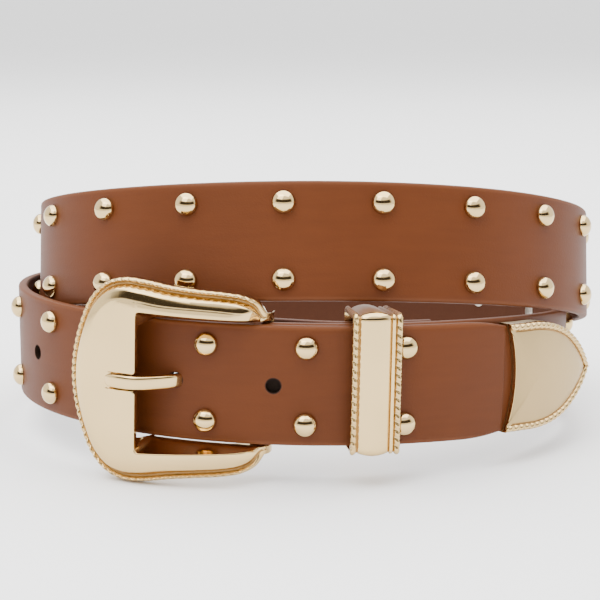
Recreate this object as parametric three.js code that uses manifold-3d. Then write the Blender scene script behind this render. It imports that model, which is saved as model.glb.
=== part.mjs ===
// A studded leather belt, fastened and wound in two turns, standing on its edge.
// Millimetres, +Z up. The buckle faces -Y. Belt positions are given by three lengths:
// along the strap, up across its width, and out from its middle layer.

import * as THREE from 'three';
import { mergeVertices } from 'three/addons/utils/BufferGeometryUtils.js';
import Module from 'manifold-3d';

const wasm = await Module();
wasm.setup();

// Strap
const STRAP_WIDTH = 35;
const STRAP_THICKNESS = 3;
const EDGE_CHAMFER = 0.5;
const HALF_WIDTH = 89;
const HALF_DEPTH = 73;
const LAYER_GAP = 0.4;
const CLEARANCE = 0.3;
const STRAP_STEP = 9;

// Studs, in two rows
const STUD_DIAMETER = 7;
const STUD_HEIGHT = 2.9;
const STUD_PITCH = 28.8;
const ROW_SPACING = 22.4;
const STUD_SIDES = 10;
const STUD_SINK = 0.4;
const STUD_SHOULDER = { across: 0.84, high: 0.64 };

// Prong holes
const HOLE_DIAMETER = 4.3;
const HOLE_BEFORE_STUD = 9.2;
const STUDS_PAST_HOLE = 2;
const HOLE_SIDES = 16;
const HOLE_PITCHES = [-2, -1, 1, 2];

// Buckle frame, prong and heel bar
const BUCKLE_LENGTH = 56.7;
const BUCKLE_HEIGHT = 60;
const FRAME_THICKNESS = 8.5;
const SHELL_WALL = 2.2;
const RIM_THICKNESS = 2.4;
const WALL_DRAFT = 2.4;
const WALL_FOOT = 0.15;
const WINDOW_ROOM = 1.6;
const WINDOW_HEIGHT = STRAP_WIDTH + WINDOW_ROOM;
const END_BAR_WIDTH = 22.5;
const BAR_DIAMETER = 3.2;
const BAR_CLEARANCE = 0.5;
const ARM_RISE = 0.35;
const ROPE_WIDTH = 2.4;
const ROPE_HEIGHT = 1;
const ROPE_STRANDS = 38;
const ROPE_STARTS = [1, 3];
const PRONG_WIDTH = 4;
const PRONG_THICKNESS = 2.6;
const PRONG_OVER_BAR = 8;
const PRONG_SEAT = 0.9;
const USED_HOLE_FROM_BAR = 26.5;
const KNUCKLE_WALL = 1.4;
const KNUCKLE_SIDES = 20;

// Fold of the strap round the heel bar
const FOLD_LENGTH = 50;
const FOLD_TAPER = 24;
const FOLD_STEPS = 8;

// Keeper
const KEEPER_FROM_BAR = 30.8;
const KEEPER_LENGTH = 14;
const KEEPER_ROOM = 7;
const KEEPER_HEIGHT = STRAP_WIDTH + KEEPER_ROOM;
const KEEPER_LIFT = KEEPER_ROOM / 4;
const KEEPER_WALL = 1.4;
const KEEPER_STEPS = 8;

// Metal tip and the strap's end inside it
const TIP_FROM_BAR = 74;
const TIP_LENGTH = 43.5;
const TIP_HEIGHT = 33;
const TIP_THICKNESS = 5.2;
const TIP_CROWN = 0.8;
const TIP_SAG = 3.2;
const TIP_ROPE = 2;
const END_TAPER = 15;
const END_SHARES = [0.35, 0.65, 0.85, 1];
const TONGUE_THICKNESS = 1.6;
const TONGUE_LENGTH = 12;
const TONGUE_HEIGHT = 24;

// The coil, in eighths of a turn from the row where it starts. reach is the share of the half
// width and half depth, over counts the layers of strap beneath, studs the stud heights beneath,
// rise is the lower edge as a share of the strap's width, and lean is in degrees.
const ROWS_PER_TURN = 8;
const FIRST_TURN = -2 / ROWS_PER_TURN;
const COIL = [
  { reach: 0.95, over: 0.0, studs: 1.0, rise: 0.30, lean: 3 },
  { reach: 1.02, over: 0.0, studs: 0.4, rise: 0.34, lean: 3 },
  { reach: 1.06, over: 0.0, studs: 0.0, rise: 0.32, lean: 3 },
  { reach: 1.02, over: 0.0, studs: 0.0, rise: 0.25, lean: 3 },
  { reach: 0.98, over: 0.0, studs: 0.0, rise: 0.00, lean: 4 },
  { reach: 0.94, over: 0.2, studs: 0.2, rise: -0.05, lean: 7 },
  { reach: 0.90, over: 0.3, studs: 0.3, rise: 0.15, lean: 11 },
  { reach: 0.90, over: 0.4, studs: 0.4, rise: 0.50, lean: 14 },
  { reach: 0.92, over: 0.5, studs: 0.5, rise: 0.98, lean: 15 },
  { reach: 0.93, over: 0.6, studs: 0.6, rise: 1.36, lean: 15 },
  { reach: 0.90, over: 0.8, studs: 0.8, rise: 1.53, lean: 15 },
  { reach: 0.92, over: 1.0, studs: 1.0, rise: 1.38, lean: 15 },
  { reach: 1.01, over: 1.0, studs: 1.0, rise: 0.90, lean: 14 },
  { reach: 0.98, over: 1.0, studs: 1.0, rise: 0.31, lean: 11 },
  { reach: 0.95, over: 1.0, studs: 1.0, rise: -0.14, lean: 7 },
  { reach: 0.93, over: 1.0, studs: 1.0, rise: 0.14, lean: 4 },
  { reach: 0.95, over: 1.0, studs: 1.0, rise: 0.30, lean: 3 },
  { reach: 1.02, over: 1.0, studs: 0.4, rise: 0.34, lean: 3 },
  { reach: 1.06, over: 1.0, studs: 0.0, rise: 0.32, lean: 3 },
  { reach: 1.03, over: 1.0, studs: 0.0, rise: 0.25, lean: 3 },
  { reach: 1.07, over: 1.0, studs: 0.0, rise: 0.03, lean: 3 },
  { reach: 1.14, over: 1.0, studs: 0.0, rise: -0.20, lean: 3 },
  { reach: 1.14, over: 1.0, studs: 0.0, rise: -0.10, lean: 3 },
];

// The buckle's outline on its upper half, from the heel bar to the far end: along is a share of
// the buckle's length and up a share of half its height.
const OUTLINE = [
  { along: 0.00, up: 0.60 },
  { along: 0.04, up: 0.74 },
  { along: 0.11, up: 0.84 },
  { along: 0.20, up: 0.90 },
  { along: 0.32, up: 0.92 },
  { along: 0.46, up: 0.95 },
  { along: 0.58, up: 0.99 },
  { along: 0.69, up: 1.00 },
  { along: 0.79, up: 0.94 },
  { along: 0.88, up: 0.78 },
  { along: 0.95, up: 0.50 },
  { along: 0.99, up: 0.22 },
];

const OUTLINE_STEPS = 16;

// The frame's section from the window out to the rope: across is a share of the face between
// them and height a share of the frame's thickness.
const FACE = [
  { across: 0.00, height: 0.86 },
  { across: 0.10, height: 0.97 },
  { across: 0.40, height: 1.00 },
  { across: 0.75, height: 0.86 },
  { across: 0.96, height: 0.34 },
];

// The rope edge out to the frame's back: inward is a share of the rope's width, beside a share of
// the section's width, height a share of the rope's crest and over a share of the rim's thickness.
const ROPE_FOOT = 0.8;
const ROPE_EDGE = [
  { inward: 0.70, beside: 0.05, height: 1.00, over: 0.0 },
  { inward: 0.25, beside: 0.00, height: 0.95, over: 0.0 },
  { inward: 0.00, beside: 0.00, height: 0.00, over: 0.6 },
  { inward: 0.00, beside: 0.04, height: 0.00, over: 0.2 },
];

// The frame's back from the rope in to the window: share is a share of the section's width and
// under the height of the face above it, as a share of the frame's thickness.
const FRAME_BACK = [
  { share: 0.86, under: 0.00 },
  { share: 0.62, under: 0.60 },
  { share: 0.38, under: 0.90 },
  { share: 0.14, under: 0.90 },
];

// The prong's route in three stretches: heel from the bar to the used hole, rise from the hole to
// the window's edge, and face over the end bar. part is the share of the stretch, sink how much
// deeper it lies, as a share of the prong's thickness, and width and thick are shares of its own.
const PRONG = [
  { stretch: 'heel', part: 0.00, sink: 0.00, width: 1.00, thick: 0.55 },
  { stretch: 'heel', part: 0.16, sink: -0.10, width: 1.00, thick: 0.70 },
  { stretch: 'heel', part: 0.48, sink: 0.10, width: 1.00, thick: 0.90 },
  { stretch: 'heel', part: 0.84, sink: -0.10, width: 1.00, thick: 0.90 },
  { stretch: 'rise', part: 0.05, sink: 0.00, width: 0.95, thick: 1.00 },
  { stretch: 'rise', part: 0.45, sink: -0.20, width: 1.00, thick: 1.00 },
  { stretch: 'rise', part: 0.80, sink: 0.00, width: 1.00, thick: 1.00 },
  { stretch: 'face', part: 0.10, sink: 0.10, width: 1.00, thick: 1.00 },
  { stretch: 'face', part: 0.70, sink: 0.05, width: 0.90, thick: 0.90 },
  { stretch: 'face', part: 1.00, sink: 0.20, width: 0.45, thick: 0.50 },
];

// The tip's outline from its top corner to its point: along is a share of the tip's length and
// up a share of half its height.
const TIP_OUTLINE = [
  { along: 0.30, up: 1.00 },
  { along: 0.46, up: 0.94 },
  { along: 0.62, up: 0.80 },
  { along: 0.78, up: 0.56 },
  { along: 0.91, up: 0.28 },
  { along: 1.00, up: 0.00 },
];

// Across the tip from its hollowed edge out: shares of the flat part, then the rope and the edge,
// where inward is a share of the rope's width, and the back.
const TIP_SHARES = [0, 0.3, 0.6, 0.85, 1];
const TIP_BACK_SHARES = [1, 0.75, 0.5, 0.25, 0];
const TIP_ROPE_SHARE = 0.3;
const TIP_EDGE = [
  { inward: 0.75, thick: 0.50, crest: 0.5 },
  { inward: 0.15, thick: 0.50, crest: 0.5 },
  { inward: 0.00, thick: 0.25, crest: 0.0 },
];
const TIP_OUTLINE_STEPS = 8;

const PALE_GOLD = { color: 0xe0cfb0, roughness: 0.18, metalness: 1 };
const SATIN_GOLD = { color: 0xcdb896, roughness: 0.4, metalness: 1 };
const LEATHER = { color: 0x94582f, roughness: 0.55, metalness: 0 };

const LAYER_STEP = STRAP_THICKNESS + LAYER_GAP;
const STUD_STEP = STUD_HEIGHT + CLEARANCE + LAYER_GAP;
const SAMPLES_PER_TURN = 240;

// The route of the strap's lower edge and the way its width points.
function smoothColumn(turn, column) {
  const place = (turn - FIRST_TURN) * ROWS_PER_TURN;
  const row = THREE.MathUtils.clamp(Math.floor(place), 1, COIL.length - 3);
  const part = place - row;
  const weights = [
    (1 - part) ** 3,
    3 * part ** 3 - 6 * part ** 2 + 4,
    -3 * part ** 3 + 3 * part ** 2 + 3 * part + 1,
    part ** 3,
  ];
  return weights.reduce((sum, weight, i) => sum + weight * COIL[row - 1 + i][column] / 6, 0);
}

function lowerEdge(turn) {
  const angle = 2 * Math.PI * turn;
  const reach = smoothColumn(turn, 'reach');
  const outward = new THREE.Vector3(HALF_DEPTH * Math.sin(angle), -HALF_WIDTH * Math.cos(angle), 0);
  const layers = smoothColumn(turn, 'over') * LAYER_STEP + smoothColumn(turn, 'studs') * STUD_STEP;
  const x = HALF_WIDTH * reach * Math.sin(angle);
  const y = -HALF_DEPTH * reach * Math.cos(angle);
  const z = STRAP_WIDTH * smoothColumn(turn, 'rise');
  return new THREE.Vector3(x, y, z).addScaledVector(outward.normalize(), layers);
}

function frameAtTurn(turn) {
  const nudge = 0.25 / SAMPLES_PER_TURN;
  const along = lowerEdge(turn + nudge).sub(lowerEdge(turn - nudge)).normalize();
  const lean = THREE.MathUtils.degToRad(smoothColumn(turn, 'lean'));
  const up = new THREE.Vector3(0, Math.sin(lean), Math.cos(lean));
  up.addScaledVector(along, -up.dot(along)).normalize();
  const out = new THREE.Vector3().crossVectors(along, up);
  const middle = lowerEdge(turn).addScaledVector(up, STRAP_WIDTH / 2);
  return { middle, along, up, out };
}

const LAST_TURN = FIRST_TURN + (COIL.length - 2) / ROWS_PER_TURN;
const route = [];
for (let i = SAMPLES_PER_TURN / ROWS_PER_TURN; FIRST_TURN + i / SAMPLES_PER_TURN < LAST_TURN; i++) {
  const frame = frameAtTurn(FIRST_TURN + i / SAMPLES_PER_TURN);
  const last = route.at(-1);
  const length = last ? last.length + frame.middle.distanceTo(last.middle) : 0;
  route.push({ turn: FIRST_TURN + i / SAMPLES_PER_TURN, length, ...frame });
}

function lengthAtTurn(turn) {
  const next = route.findIndex((sample) => sample.turn >= turn);
  const [a, b] = [route[next - 1], route[next]];
  return THREE.MathUtils.mapLinear(turn, a.turn, b.turn, a.length, b.length);
}

function frameAt(length) {
  let low = 0;
  let high = route.length - 1;
  while (high - low > 1) {
    const half = (low + high) >> 1;
    if (route[half].length > length) {
      high = half;
    } else {
      low = half;
    }
  }
  const [a, b] = [route[low], route[high]];
  const part = (length - a.length) / (b.length - a.length);
  const mix = (key) => a[key].clone().lerp(b[key], part);
  return { middle: mix('middle'), along: mix('along'), up: mix('up'), out: mix('out') };
}

// A point of the belt from its length along the strap, its height up the width and out.
function place(length, up, out) {
  const frame = frameAt(length);
  return frame.middle.addScaledVector(frame.up, up).addScaledVector(frame.out, out);
}

// Closed bodies
function bodyFromRings(rings, closed) {
  const size = rings[0].length;
  const positions = rings.flat().flatMap((point) => point.toArray());
  const index = [];
  const steps = closed ? rings.length : rings.length - 1;
  for (let i = 0; i < steps; i++) {
    const next = (i + 1) % rings.length;
    for (let j = 0; j < size; j++) {
      const side = (j + 1) % size;
      const [a, b, c, d] = [i * size + j, i * size + side, next * size + side, next * size + j];
      index.push(a, b, c, a, c, d);
    }
  }
  if (!closed) {
    const last = (rings.length - 1) * size;
    for (let j = 1; j < size - 1; j++) {
      index.push(0, j + 1, j);
      index.push(last, last + j, last + j + 1);
    }
  }
  return solid(positions, index);
}

function solid(positions, index) {
  const geometry = new THREE.BufferGeometry();
  geometry.setAttribute('position', new THREE.Float32BufferAttribute(positions, 3));
  geometry.setIndex(index);
  return manifold(geometry);
}

function manifold(geometry) {
  const bare = geometry.clone();
  bare.deleteAttribute('normal');
  bare.deleteAttribute('uv');
  const merged = mergeVertices(bare, 1e-4);
  const points = merged.attributes.position.array;
  const corners = Array.from(merged.index.array);
  if (signedVolume(points, corners) < 0) {
    for (let i = 0; i < corners.length; i += 3) {
      [corners[i], corners[i + 1]] = [corners[i + 1], corners[i]];
    }
  }
  const mesh = new wasm.Mesh({
    numProp: 3,
    vertProperties: new Float32Array(points),
    triVerts: new Uint32Array(corners),
  });
  return new wasm.Manifold(mesh);
}

function signedVolume(points, corners) {
  const at = (i) => new THREE.Vector3().fromArray(points, 3 * corners[i]);
  let volume = 0;
  for (let i = 0; i < corners.length; i += 3) {
    volume += at(i).dot(at(i + 1).cross(at(i + 2)));
  }
  return volume;
}

function named(name, body, finish) {
  const { vertProperties, triVerts } = body.getMesh();
  const geometry = new THREE.BufferGeometry();
  geometry.setAttribute('position', new THREE.BufferAttribute(vertProperties, 3));
  geometry.setIndex(new THREE.BufferAttribute(triVerts, 1));
  geometry.computeVertexNormals();
  const mesh = new THREE.Mesh(geometry, new THREE.MeshStandardMaterial(finish));
  mesh.name = name;
  return mesh;
}

// An eight-sided section with cut corners, as pairs of up and out.
function cutSection(halfHeight, halfDepth, cut) {
  const [h, d] = [halfHeight, halfDepth];
  return [
    [-h + cut, -d], [h - cut, -d], [h, -d + cut], [h, d - cut],
    [h - cut, d], [-h + cut, d], [-h, d - cut], [-h, -d + cut],
  ];
}

// Places along the strap, as lengths on its route
const BAR_TURN = -0.017;
const foldStart = lengthAtTurn(BAR_TURN);
const bar = lengthAtTurn(2 + BAR_TURN);
const usedHole = bar - USED_HOLE_FROM_BAR;
const firstStud = usedHole + HOLE_BEFORE_STUD + STUDS_PAST_HOLE * STUD_PITCH;
const keeper = bar + KEEPER_FROM_BAR;
const strapEnd = bar + TIP_FROM_BAR;

// Strap, folded round the heel bar
const foldRadius = (BAR_DIAMETER + STRAP_THICKNESS) / 2 + BAR_CLEARANCE;
const backDepth = (distance) => {
  const spread = THREE.MathUtils.smoothstep(FOLD_TAPER - distance, 0, FOLD_TAPER);
  return THREE.MathUtils.lerp(LAYER_STEP, 2 * foldRadius, spread);
};

function strapSections() {
  const rings = [];
  const full = cutSection(STRAP_WIDTH / 2, STRAP_THICKNESS / 2, EDGE_CHAMFER);
  const addRing = (length, out, turned, section) => {
    const frame = frameAt(length);
    const thick = frame.out.clone().applyAxisAngle(frame.up, -turned);
    const middle = frame.middle.clone().addScaledVector(frame.out, out);
    rings.push(section.map(([up, depth]) => (
      middle.clone().addScaledVector(frame.up, up).addScaledVector(thick, depth)
    )));
  };
  const backSteps = Math.round(FOLD_LENGTH / STRAP_STEP);
  for (let i = 0; i < backSteps; i++) {
    const distance = FOLD_LENGTH * (1 - i / backSteps);
    addRing(foldStart + distance, -backDepth(distance), Math.PI, full);
  }
  for (let i = 0; i < FOLD_STEPS; i++) {
    const turned = Math.PI * (1 - i / FOLD_STEPS);
    const out = foldRadius * (Math.cos(turned) - 1);
    addRing(foldStart - foldRadius * Math.sin(turned), out, turned, full);
  }
  const steps = Math.round((strapEnd - END_TAPER - foldStart) / STRAP_STEP);
  for (let i = 0; i <= steps; i++) {
    addRing(THREE.MathUtils.lerp(foldStart, strapEnd - END_TAPER, i / steps), 0, 0, full);
  }
  const endHalf = TIP_HEIGHT / 2 - 2 * CLEARANCE;
  for (const share of END_SHARES) {
    const half = THREE.MathUtils.lerp(STRAP_WIDTH / 2, endHalf, share ** 2);
    addRing(strapEnd - END_TAPER * (1 - share), 0, 0, cutSection(half, STRAP_THICKNESS / 2, EDGE_CHAMFER));
  }
  const tongue = cutSection(TONGUE_HEIGHT / 2, TONGUE_THICKNESS / 2, EDGE_CHAMFER);
  addRing(strapEnd, 0, 0, tongue);
  addRing(strapEnd + TONGUE_LENGTH / 2, 0, 0, tongue);
  addRing(strapEnd + TONGUE_LENGTH, 0, 0, tongue);
  return rings;
}

// A round pin standing out of the strap at a length and height, for studs and for holes.
function standing(geometry, length, up, out) {
  const frame = frameAt(length);
  const origin = frame.middle.clone().addScaledVector(frame.up, up).addScaledVector(frame.out, out);
  const basis = new THREE.Matrix4().makeBasis(frame.along, frame.out, frame.up.clone().negate());
  return geometry.clone().applyMatrix4(basis.setPosition(origin));
}

function studGeometry() {
  const radius = STUD_DIAMETER / 2;
  const { across, high } = STUD_SHOULDER;
  const profile = [[0, 0], [1, 0], [across, high], [0, 1]];
  return new THREE.LatheGeometry(
    profile.map(([x, y]) => new THREE.Vector2(x * radius, y * STUD_HEIGHT)), STUD_SIDES,
  );
}

// Stud columns, counted from the free end towards the buckle end
const FRONT_LOWER = [0, 1, 2, 3, 4, 5, 6];
const FRONT_UPPER = [16, 17, 18, 19, 20, 21, 22, 23, 24];
const BACK_OUTER = [7, 8, 9, 10, 11, 12, 13, 14, 15];
const BETWEEN_TURNS = [25, 26, 27, 28, 29, 30, 31, 32, 33];
const ROWS = [{ row: 'top', up: ROW_SPACING / 2 }, { row: 'bottom', up: -ROW_SPACING / 2 }];
const studLength = (column) => firstStud - column * STUD_PITCH;

function studMesh(name, column, up) {
  const out = STRAP_THICKNESS / 2 + CLEARANCE;
  return named(name, manifold(standing(studGeometry(), studLength(column), up, out)), PALE_GOLD);
}

// Prong, in the plane across the belt: its route runs from the knuckle on the heel bar, through
// the used hole, to the face of the frame's end bar.
const barOut = -LAYER_STEP - foldRadius;
const endBarBack = STRAP_THICKNESS / 2 + STUD_HEIGHT + 2 * CLEARANCE;
const endBarFront = endBarBack + FRAME_THICKNESS;
const windowEnd = BUCKLE_LENGTH - END_BAR_WIDTH;
const throughHole = USED_HOLE_FROM_BAR - 1;

function prongRoute() {
  const behind = -(STRAP_THICKNESS + PRONG_THICKNESS) / 2 - CLEARANCE;
  const onFace = endBarFront - PRONG_SEAT;
  const knuckleTop = barOut + (BAR_DIAMETER + KNUCKLE_WALL) / 2 + CLEARANCE;
  const lift = onFace / (windowEnd - throughHole);
  return PRONG.map(({ stretch, part, sink, width, thick }) => {
    const routes = {
      heel: { from: part * throughHole, out: THREE.MathUtils.lerp(knuckleTop, behind, part) },
      rise: {
        from: THREE.MathUtils.lerp(throughHole, windowEnd, part),
        out: lift * part * (windowEnd - throughHole),
      },
      face: { from: windowEnd + part * PRONG_OVER_BAR, out: onFace },
    };
    const { from, out } = routes[stretch];
    return { from, out: out - sink * PRONG_THICKNESS, width, thick };
  });
}

function prongBody(margin) {
  const rings = prongRoute().map(({ from, out, width, thick }, i, all) => {
    const before = all[Math.max(i - 1, 0)];
    const after = all[Math.min(i + 1, all.length - 1)];
    const slope = Math.atan2(after.out - before.out, after.from - before.from);
    const spare = i === 0 || i === all.length - 1 ? margin : 0;
    const end = i === 0 ? -spare : spare;
    const half = PRONG_THICKNESS / 2 * thick + margin;
    const section = cutSection(PRONG_WIDTH / 2 * width + margin, half, half * 0.4);
    return section.map(([up, depth]) => place(
      bar - from - end + depth * Math.sin(slope),
      up,
      out + depth * Math.cos(slope),
    ));
  });
  return bodyFromRings(rings, false);
}

// The knuckle round the heel bar, a ring whose axis runs up the belt.
function ringRound(inner, outer, height, length, out) {
  const outline = new THREE.Shape().absarc(0, 0, outer, 0, 2 * Math.PI);
  if (inner > 0) {
    outline.holes.push(new THREE.Path().absarc(0, 0, inner, 0, 2 * Math.PI, true));
  }
  const ring = new THREE.ExtrudeGeometry(outline, {
    depth: height, bevelEnabled: false, curveSegments: KNUCKLE_SIDES,
  });
  ring.translate(0, 0, -height / 2);
  const frame = frameAt(length);
  const origin = frame.middle.clone().addScaledVector(frame.out, out);
  const basis = new THREE.Matrix4().makeBasis(frame.along, frame.out.clone().negate(), frame.up);
  return manifold(ring.applyMatrix4(basis.setPosition(origin)));
}

const knuckleInner = BAR_DIAMETER / 2 + BAR_CLEARANCE;
const knuckleOuter = knuckleInner + KNUCKLE_WALL;

// How far out the frame's back lies: it rises from the heel bar to the end bar.
function frameBack(from) {
  const share = THREE.MathUtils.clamp((from - BAR_DIAMETER) / (windowEnd - BAR_DIAMETER), 0, 1);
  return THREE.MathUtils.lerp(barOut - BAR_DIAMETER / 2, endBarBack, share ** ARM_RISE);
}

function frameOutline() {
  const upper = OUTLINE.map(({ along, up }) => [along * BUCKLE_LENGTH, up * BUCKLE_HEIGHT / 2]);
  const lower = upper.map(([along, up]) => [along, -up]).reverse();
  const points = [...upper, [BUCKLE_LENGTH, 0], ...lower];
  const curve = new THREE.CatmullRomCurve3(
    points.map(([along, up]) => new THREE.Vector3(along, up, 0)), false, 'centripetal',
  );
  return curve.getPoints(OUTLINE_STEPS * points.length);
}

// The distance from the window's middle to an outline, in a direction.
function reachOf(outline, centre, angle) {
  const direction = new THREE.Vector2(Math.cos(angle), Math.sin(angle));
  let best = 0;
  for (let i = 0; i < outline.length; i++) {
    const a = new THREE.Vector2(outline[i].x - centre, outline[i].y);
    const next = outline[(i + 1) % outline.length];
    const edge = new THREE.Vector2(next.x - centre, next.y).sub(a);
    const cross = direction.cross(edge);
    const far = a.cross(edge) / cross;
    const share = a.cross(direction) / cross;
    if (Math.abs(cross) > 1e-9 && share >= 0 && share <= 1 && far > best) {
      best = far;
    }
  }
  return best;
}

// Buckle frame, one loop of sections from the window to the outer edge.
function frameBody() {
  const radius = BAR_DIAMETER / 2;
  const centre = windowEnd / 2;
  const outline = frameOutline();
  outline.forEach((point) => {
    point.x = Math.max(point.x, -radius);
  });
  outline[0].x = -radius;
  outline.at(-1).x = -radius;
  const windowAt = (half) => [
    new THREE.Vector3(radius, half, 0), new THREE.Vector3(windowEnd, half, 0),
    new THREE.Vector3(windowEnd, -half, 0), new THREE.Vector3(radius, -half, 0),
  ];
  const inner = windowAt(WINDOW_HEIGHT / 2);
  const brim = windowAt(WINDOW_HEIGHT / 2 + WALL_DRAFT);
  const seen = [inner[0], brim[1], brim[2], inner[3]];
  const corners = seen.map(({ x, y }) => Math.atan2(y, x - centre));
  const count = 2 * ROPE_STRANDS;
  const step = 2 * Math.PI / count;
  const rings = [];
  for (let i = 0; i < count; i++) {
    const even = -Math.PI + (i + 0.5) * step;
    const corner = corners.find((angle) => Math.abs(angle - even) <= step / 2);
    const angle = corner ?? even;
    rings.push(frameSection(angle, centre, { inner, brim, outline }, i % 2));
  }
  return bodyFromRings(rings, true);
}

// The arms are solid and the end bar is a shell that the strap and its studs pass under.
function frameSection(angle, centre, edges, strand) {
  const start = reachOf(edges.inner, centre, angle);
  const end = reachOf(edges.outline, centre, angle);
  const width = end - start;
  const beyondBar = (width - BAR_DIAMETER) / ROPE_WIDTH;
  const roped = THREE.MathUtils.smoothstep(beyondBar, ...ROPE_STARTS);
  const onEndBar = centre + start * Math.cos(angle) > windowEnd - CLEARANCE;
  const inside = WINDOW_HEIGHT / 2 - Math.abs(start * Math.sin(angle));
  const hollow = onEndBar ? THREE.MathUtils.smoothstep(inside, 0, FRAME_THICKNESS) : 0;
  const rope = ROPE_WIDTH * roped;
  const front = THREE.MathUtils.lerp(start, reachOf(edges.brim, centre, angle), roped);
  const thickness = THREE.MathUtils.lerp(BAR_DIAMETER, FRAME_THICKNESS, roped);
  const rim = THREE.MathUtils.lerp(BAR_DIAMETER, RIM_THICKNESS, roped);
  const shell = (height) => hollow * Math.max(0, height * thickness - SHELL_WALL);
  const foot = WALL_FOOT * thickness * (1 - hollow) + shell(FACE[0].height);
  const points = [{ away: start, height: foot }];
  for (const { across, height } of FACE) {
    points.push({ away: front + across * (end - rope - front), height: height * thickness });
  }
  const crest = ROPE_FOOT * rim + ROPE_HEIGHT * roped * (1 + strand) / 2;
  for (const { inward, beside, height, over } of ROPE_EDGE) {
    points.push({ away: end - inward * rope - beside * width, height: height * crest + over * rim });
  }
  for (const { share, under } of FRAME_BACK) {
    points.push({ away: start + share * width, height: shell(under) });
  }
  return points.map(({ away, height }) => {
    const from = centre + away * Math.cos(angle);
    const up = away * Math.sin(angle);
    return place(bar - from, up, frameBack(from) + height);
  });
}

// Keeper, one loop of sections round both straps; its face carries two rope strips and a bead.
// along is a share of the keeper's length and height a share of its relief, which is itself a
// share of the wall.
const KEEPER_RELIEF = 0.45;
const KEEPER_BACK_RELIEF = 0.11;
const KEEPER_INSIDE = [1, 0.67, 0.33, 0];
const KEEPER_PROFILE = [
  { along: 0.00, height: 0.2 },
  { along: 0.03, height: 1.0 },
  { along: 0.11, height: 1.0 },
  { along: 0.15, height: 0.3 },
  { along: 0.20, height: 0.5 },
  { along: 0.45, height: 1.1 },
  { along: 0.70, height: 0.5 },
  { along: 0.75, height: 0.9 },
  { along: 0.82, height: 0.3 },
  { along: 0.87, height: 1.0 },
  { along: 0.97, height: 1.0 },
  { along: 1.00, height: 0.2 },
];

function keeperBody() {
  const front = STRAP_THICKNESS / 2 + STUD_HEIGHT + 2 * CLEARANCE;
  const back = -2 * LAYER_STEP - STRAP_THICKNESS / 2 - 3 * CLEARANCE;
  const halfInner = KEEPER_HEIGHT / 2 - KEEPER_WALL;
  const middle = (front + back) / 2;
  const halfDeep = (front - back) / 2;
  const loop = [];
  const corners = [
    { up: 1, out: 1 }, { up: -1, out: 1 }, { up: -1, out: -1 }, { up: 1, out: -1 },
  ];
  corners.forEach(({ up, out }, i) => {
    const next = corners[(i + 1) % corners.length];
    const steps = up === next.up ? KEEPER_STEPS / 4 : KEEPER_STEPS;
    for (let k = 0; k < steps; k++) {
      const share = k / steps;
      loop.push({
        up: THREE.MathUtils.lerp(up, next.up, share),
        out: THREE.MathUtils.lerp(out, next.out, share),
        corner: k === 0,
      });
    }
  });
  const rings = loop.map(({ up, out, corner }) => {
    const relief = out === 1 ? KEEPER_RELIEF : KEEPER_BACK_RELIEF;
    const inside = KEEPER_INSIDE.map((along) => ({ along, wall: 0 }));
    const outside = KEEPER_PROFILE.map(({ along, height }) => (
      { along, wall: KEEPER_WALL * (1 - KEEPER_RELIEF + height * relief) }
    ));
    const wallUp = Math.abs(up) === 1 ? Math.sign(up) : 0;
    const wallOut = Math.abs(out) === 1 ? Math.sign(out) : 0;
    const round = corner ? Math.SQRT1_2 : 1;
    return [...inside, ...outside].map(({ along, wall }) => place(
      keeper + KEEPER_LENGTH * (along - 0.5),
      KEEPER_LIFT + up * halfInner + wallUp * wall * round,
      middle + out * halfDeep + wallOut * wall * round,
    ));
  });
  return bodyFromRings(rings, true);
}

// Metal tip: rows across the belt, each running from the hollowed edge to the outline.
function tipBody() {
  const half = TIP_HEIGHT / 2;
  const outline = new THREE.SplineCurve(
    TIP_OUTLINE.map(({ along, up }) => new THREE.Vector2(along * TIP_LENGTH, up * half)),
  );
  const upper = outline.getPoints(TIP_OUTLINE_STEPS);
  const rows = [...upper, ...upper.slice(0, -1).reverse().map(({ x, y }) => new THREE.Vector2(x, -y))];
  const start = strapEnd + CLEARANCE;
  const rings = rows.map(({ x, y }) => {
    const first = TIP_SAG * (1 - (y / half) ** 2);
    const rope = Math.min(TIP_ROPE, TIP_ROPE_SHARE * (x - first));
    const body = x - first - rope;
    const crown = TIP_CROWN * (1 - (y / half) ** 2);
    const points = TIP_SHARES.map((share) => (
      { along: first + share * body, out: TIP_THICKNESS / 2 + crown * (1 - share ** 2) }
    ));
    for (const { inward, thick, crest } of TIP_EDGE) {
      points.push({ along: x - inward * rope, out: thick * TIP_THICKNESS + crest * ROPE_HEIGHT });
    }
    for (const share of TIP_BACK_SHARES) {
      points.push({ along: THREE.MathUtils.lerp(first, x, share), out: -TIP_THICKNESS / 2 });
    }
    return points.map(({ along, out }) => place(start + along, y, out));
  });
  const pocket = cutSection(
    TONGUE_HEIGHT / 2 + CLEARANCE, TONGUE_THICKNESS / 2 + CLEARANCE, EDGE_CHAMFER,
  );
  const pocketRings = [-1, TONGUE_LENGTH / 2, TONGUE_LENGTH + CLEARANCE].map((along) => (
    pocket.map(([up, out]) => place(strapEnd + along, up, out))
  ));
  return bodyFromRings(rings, false).subtract(bodyFromRings(pocketRings, false));
}

function hole(length) {
  const pin = new THREE.CylinderGeometry(
    HOLE_DIAMETER / 2, HOLE_DIAMETER / 2, 2 * STRAP_THICKNESS, HOLE_SIDES,
  );
  return manifold(standing(pin, length, 0, 0));
}

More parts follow.
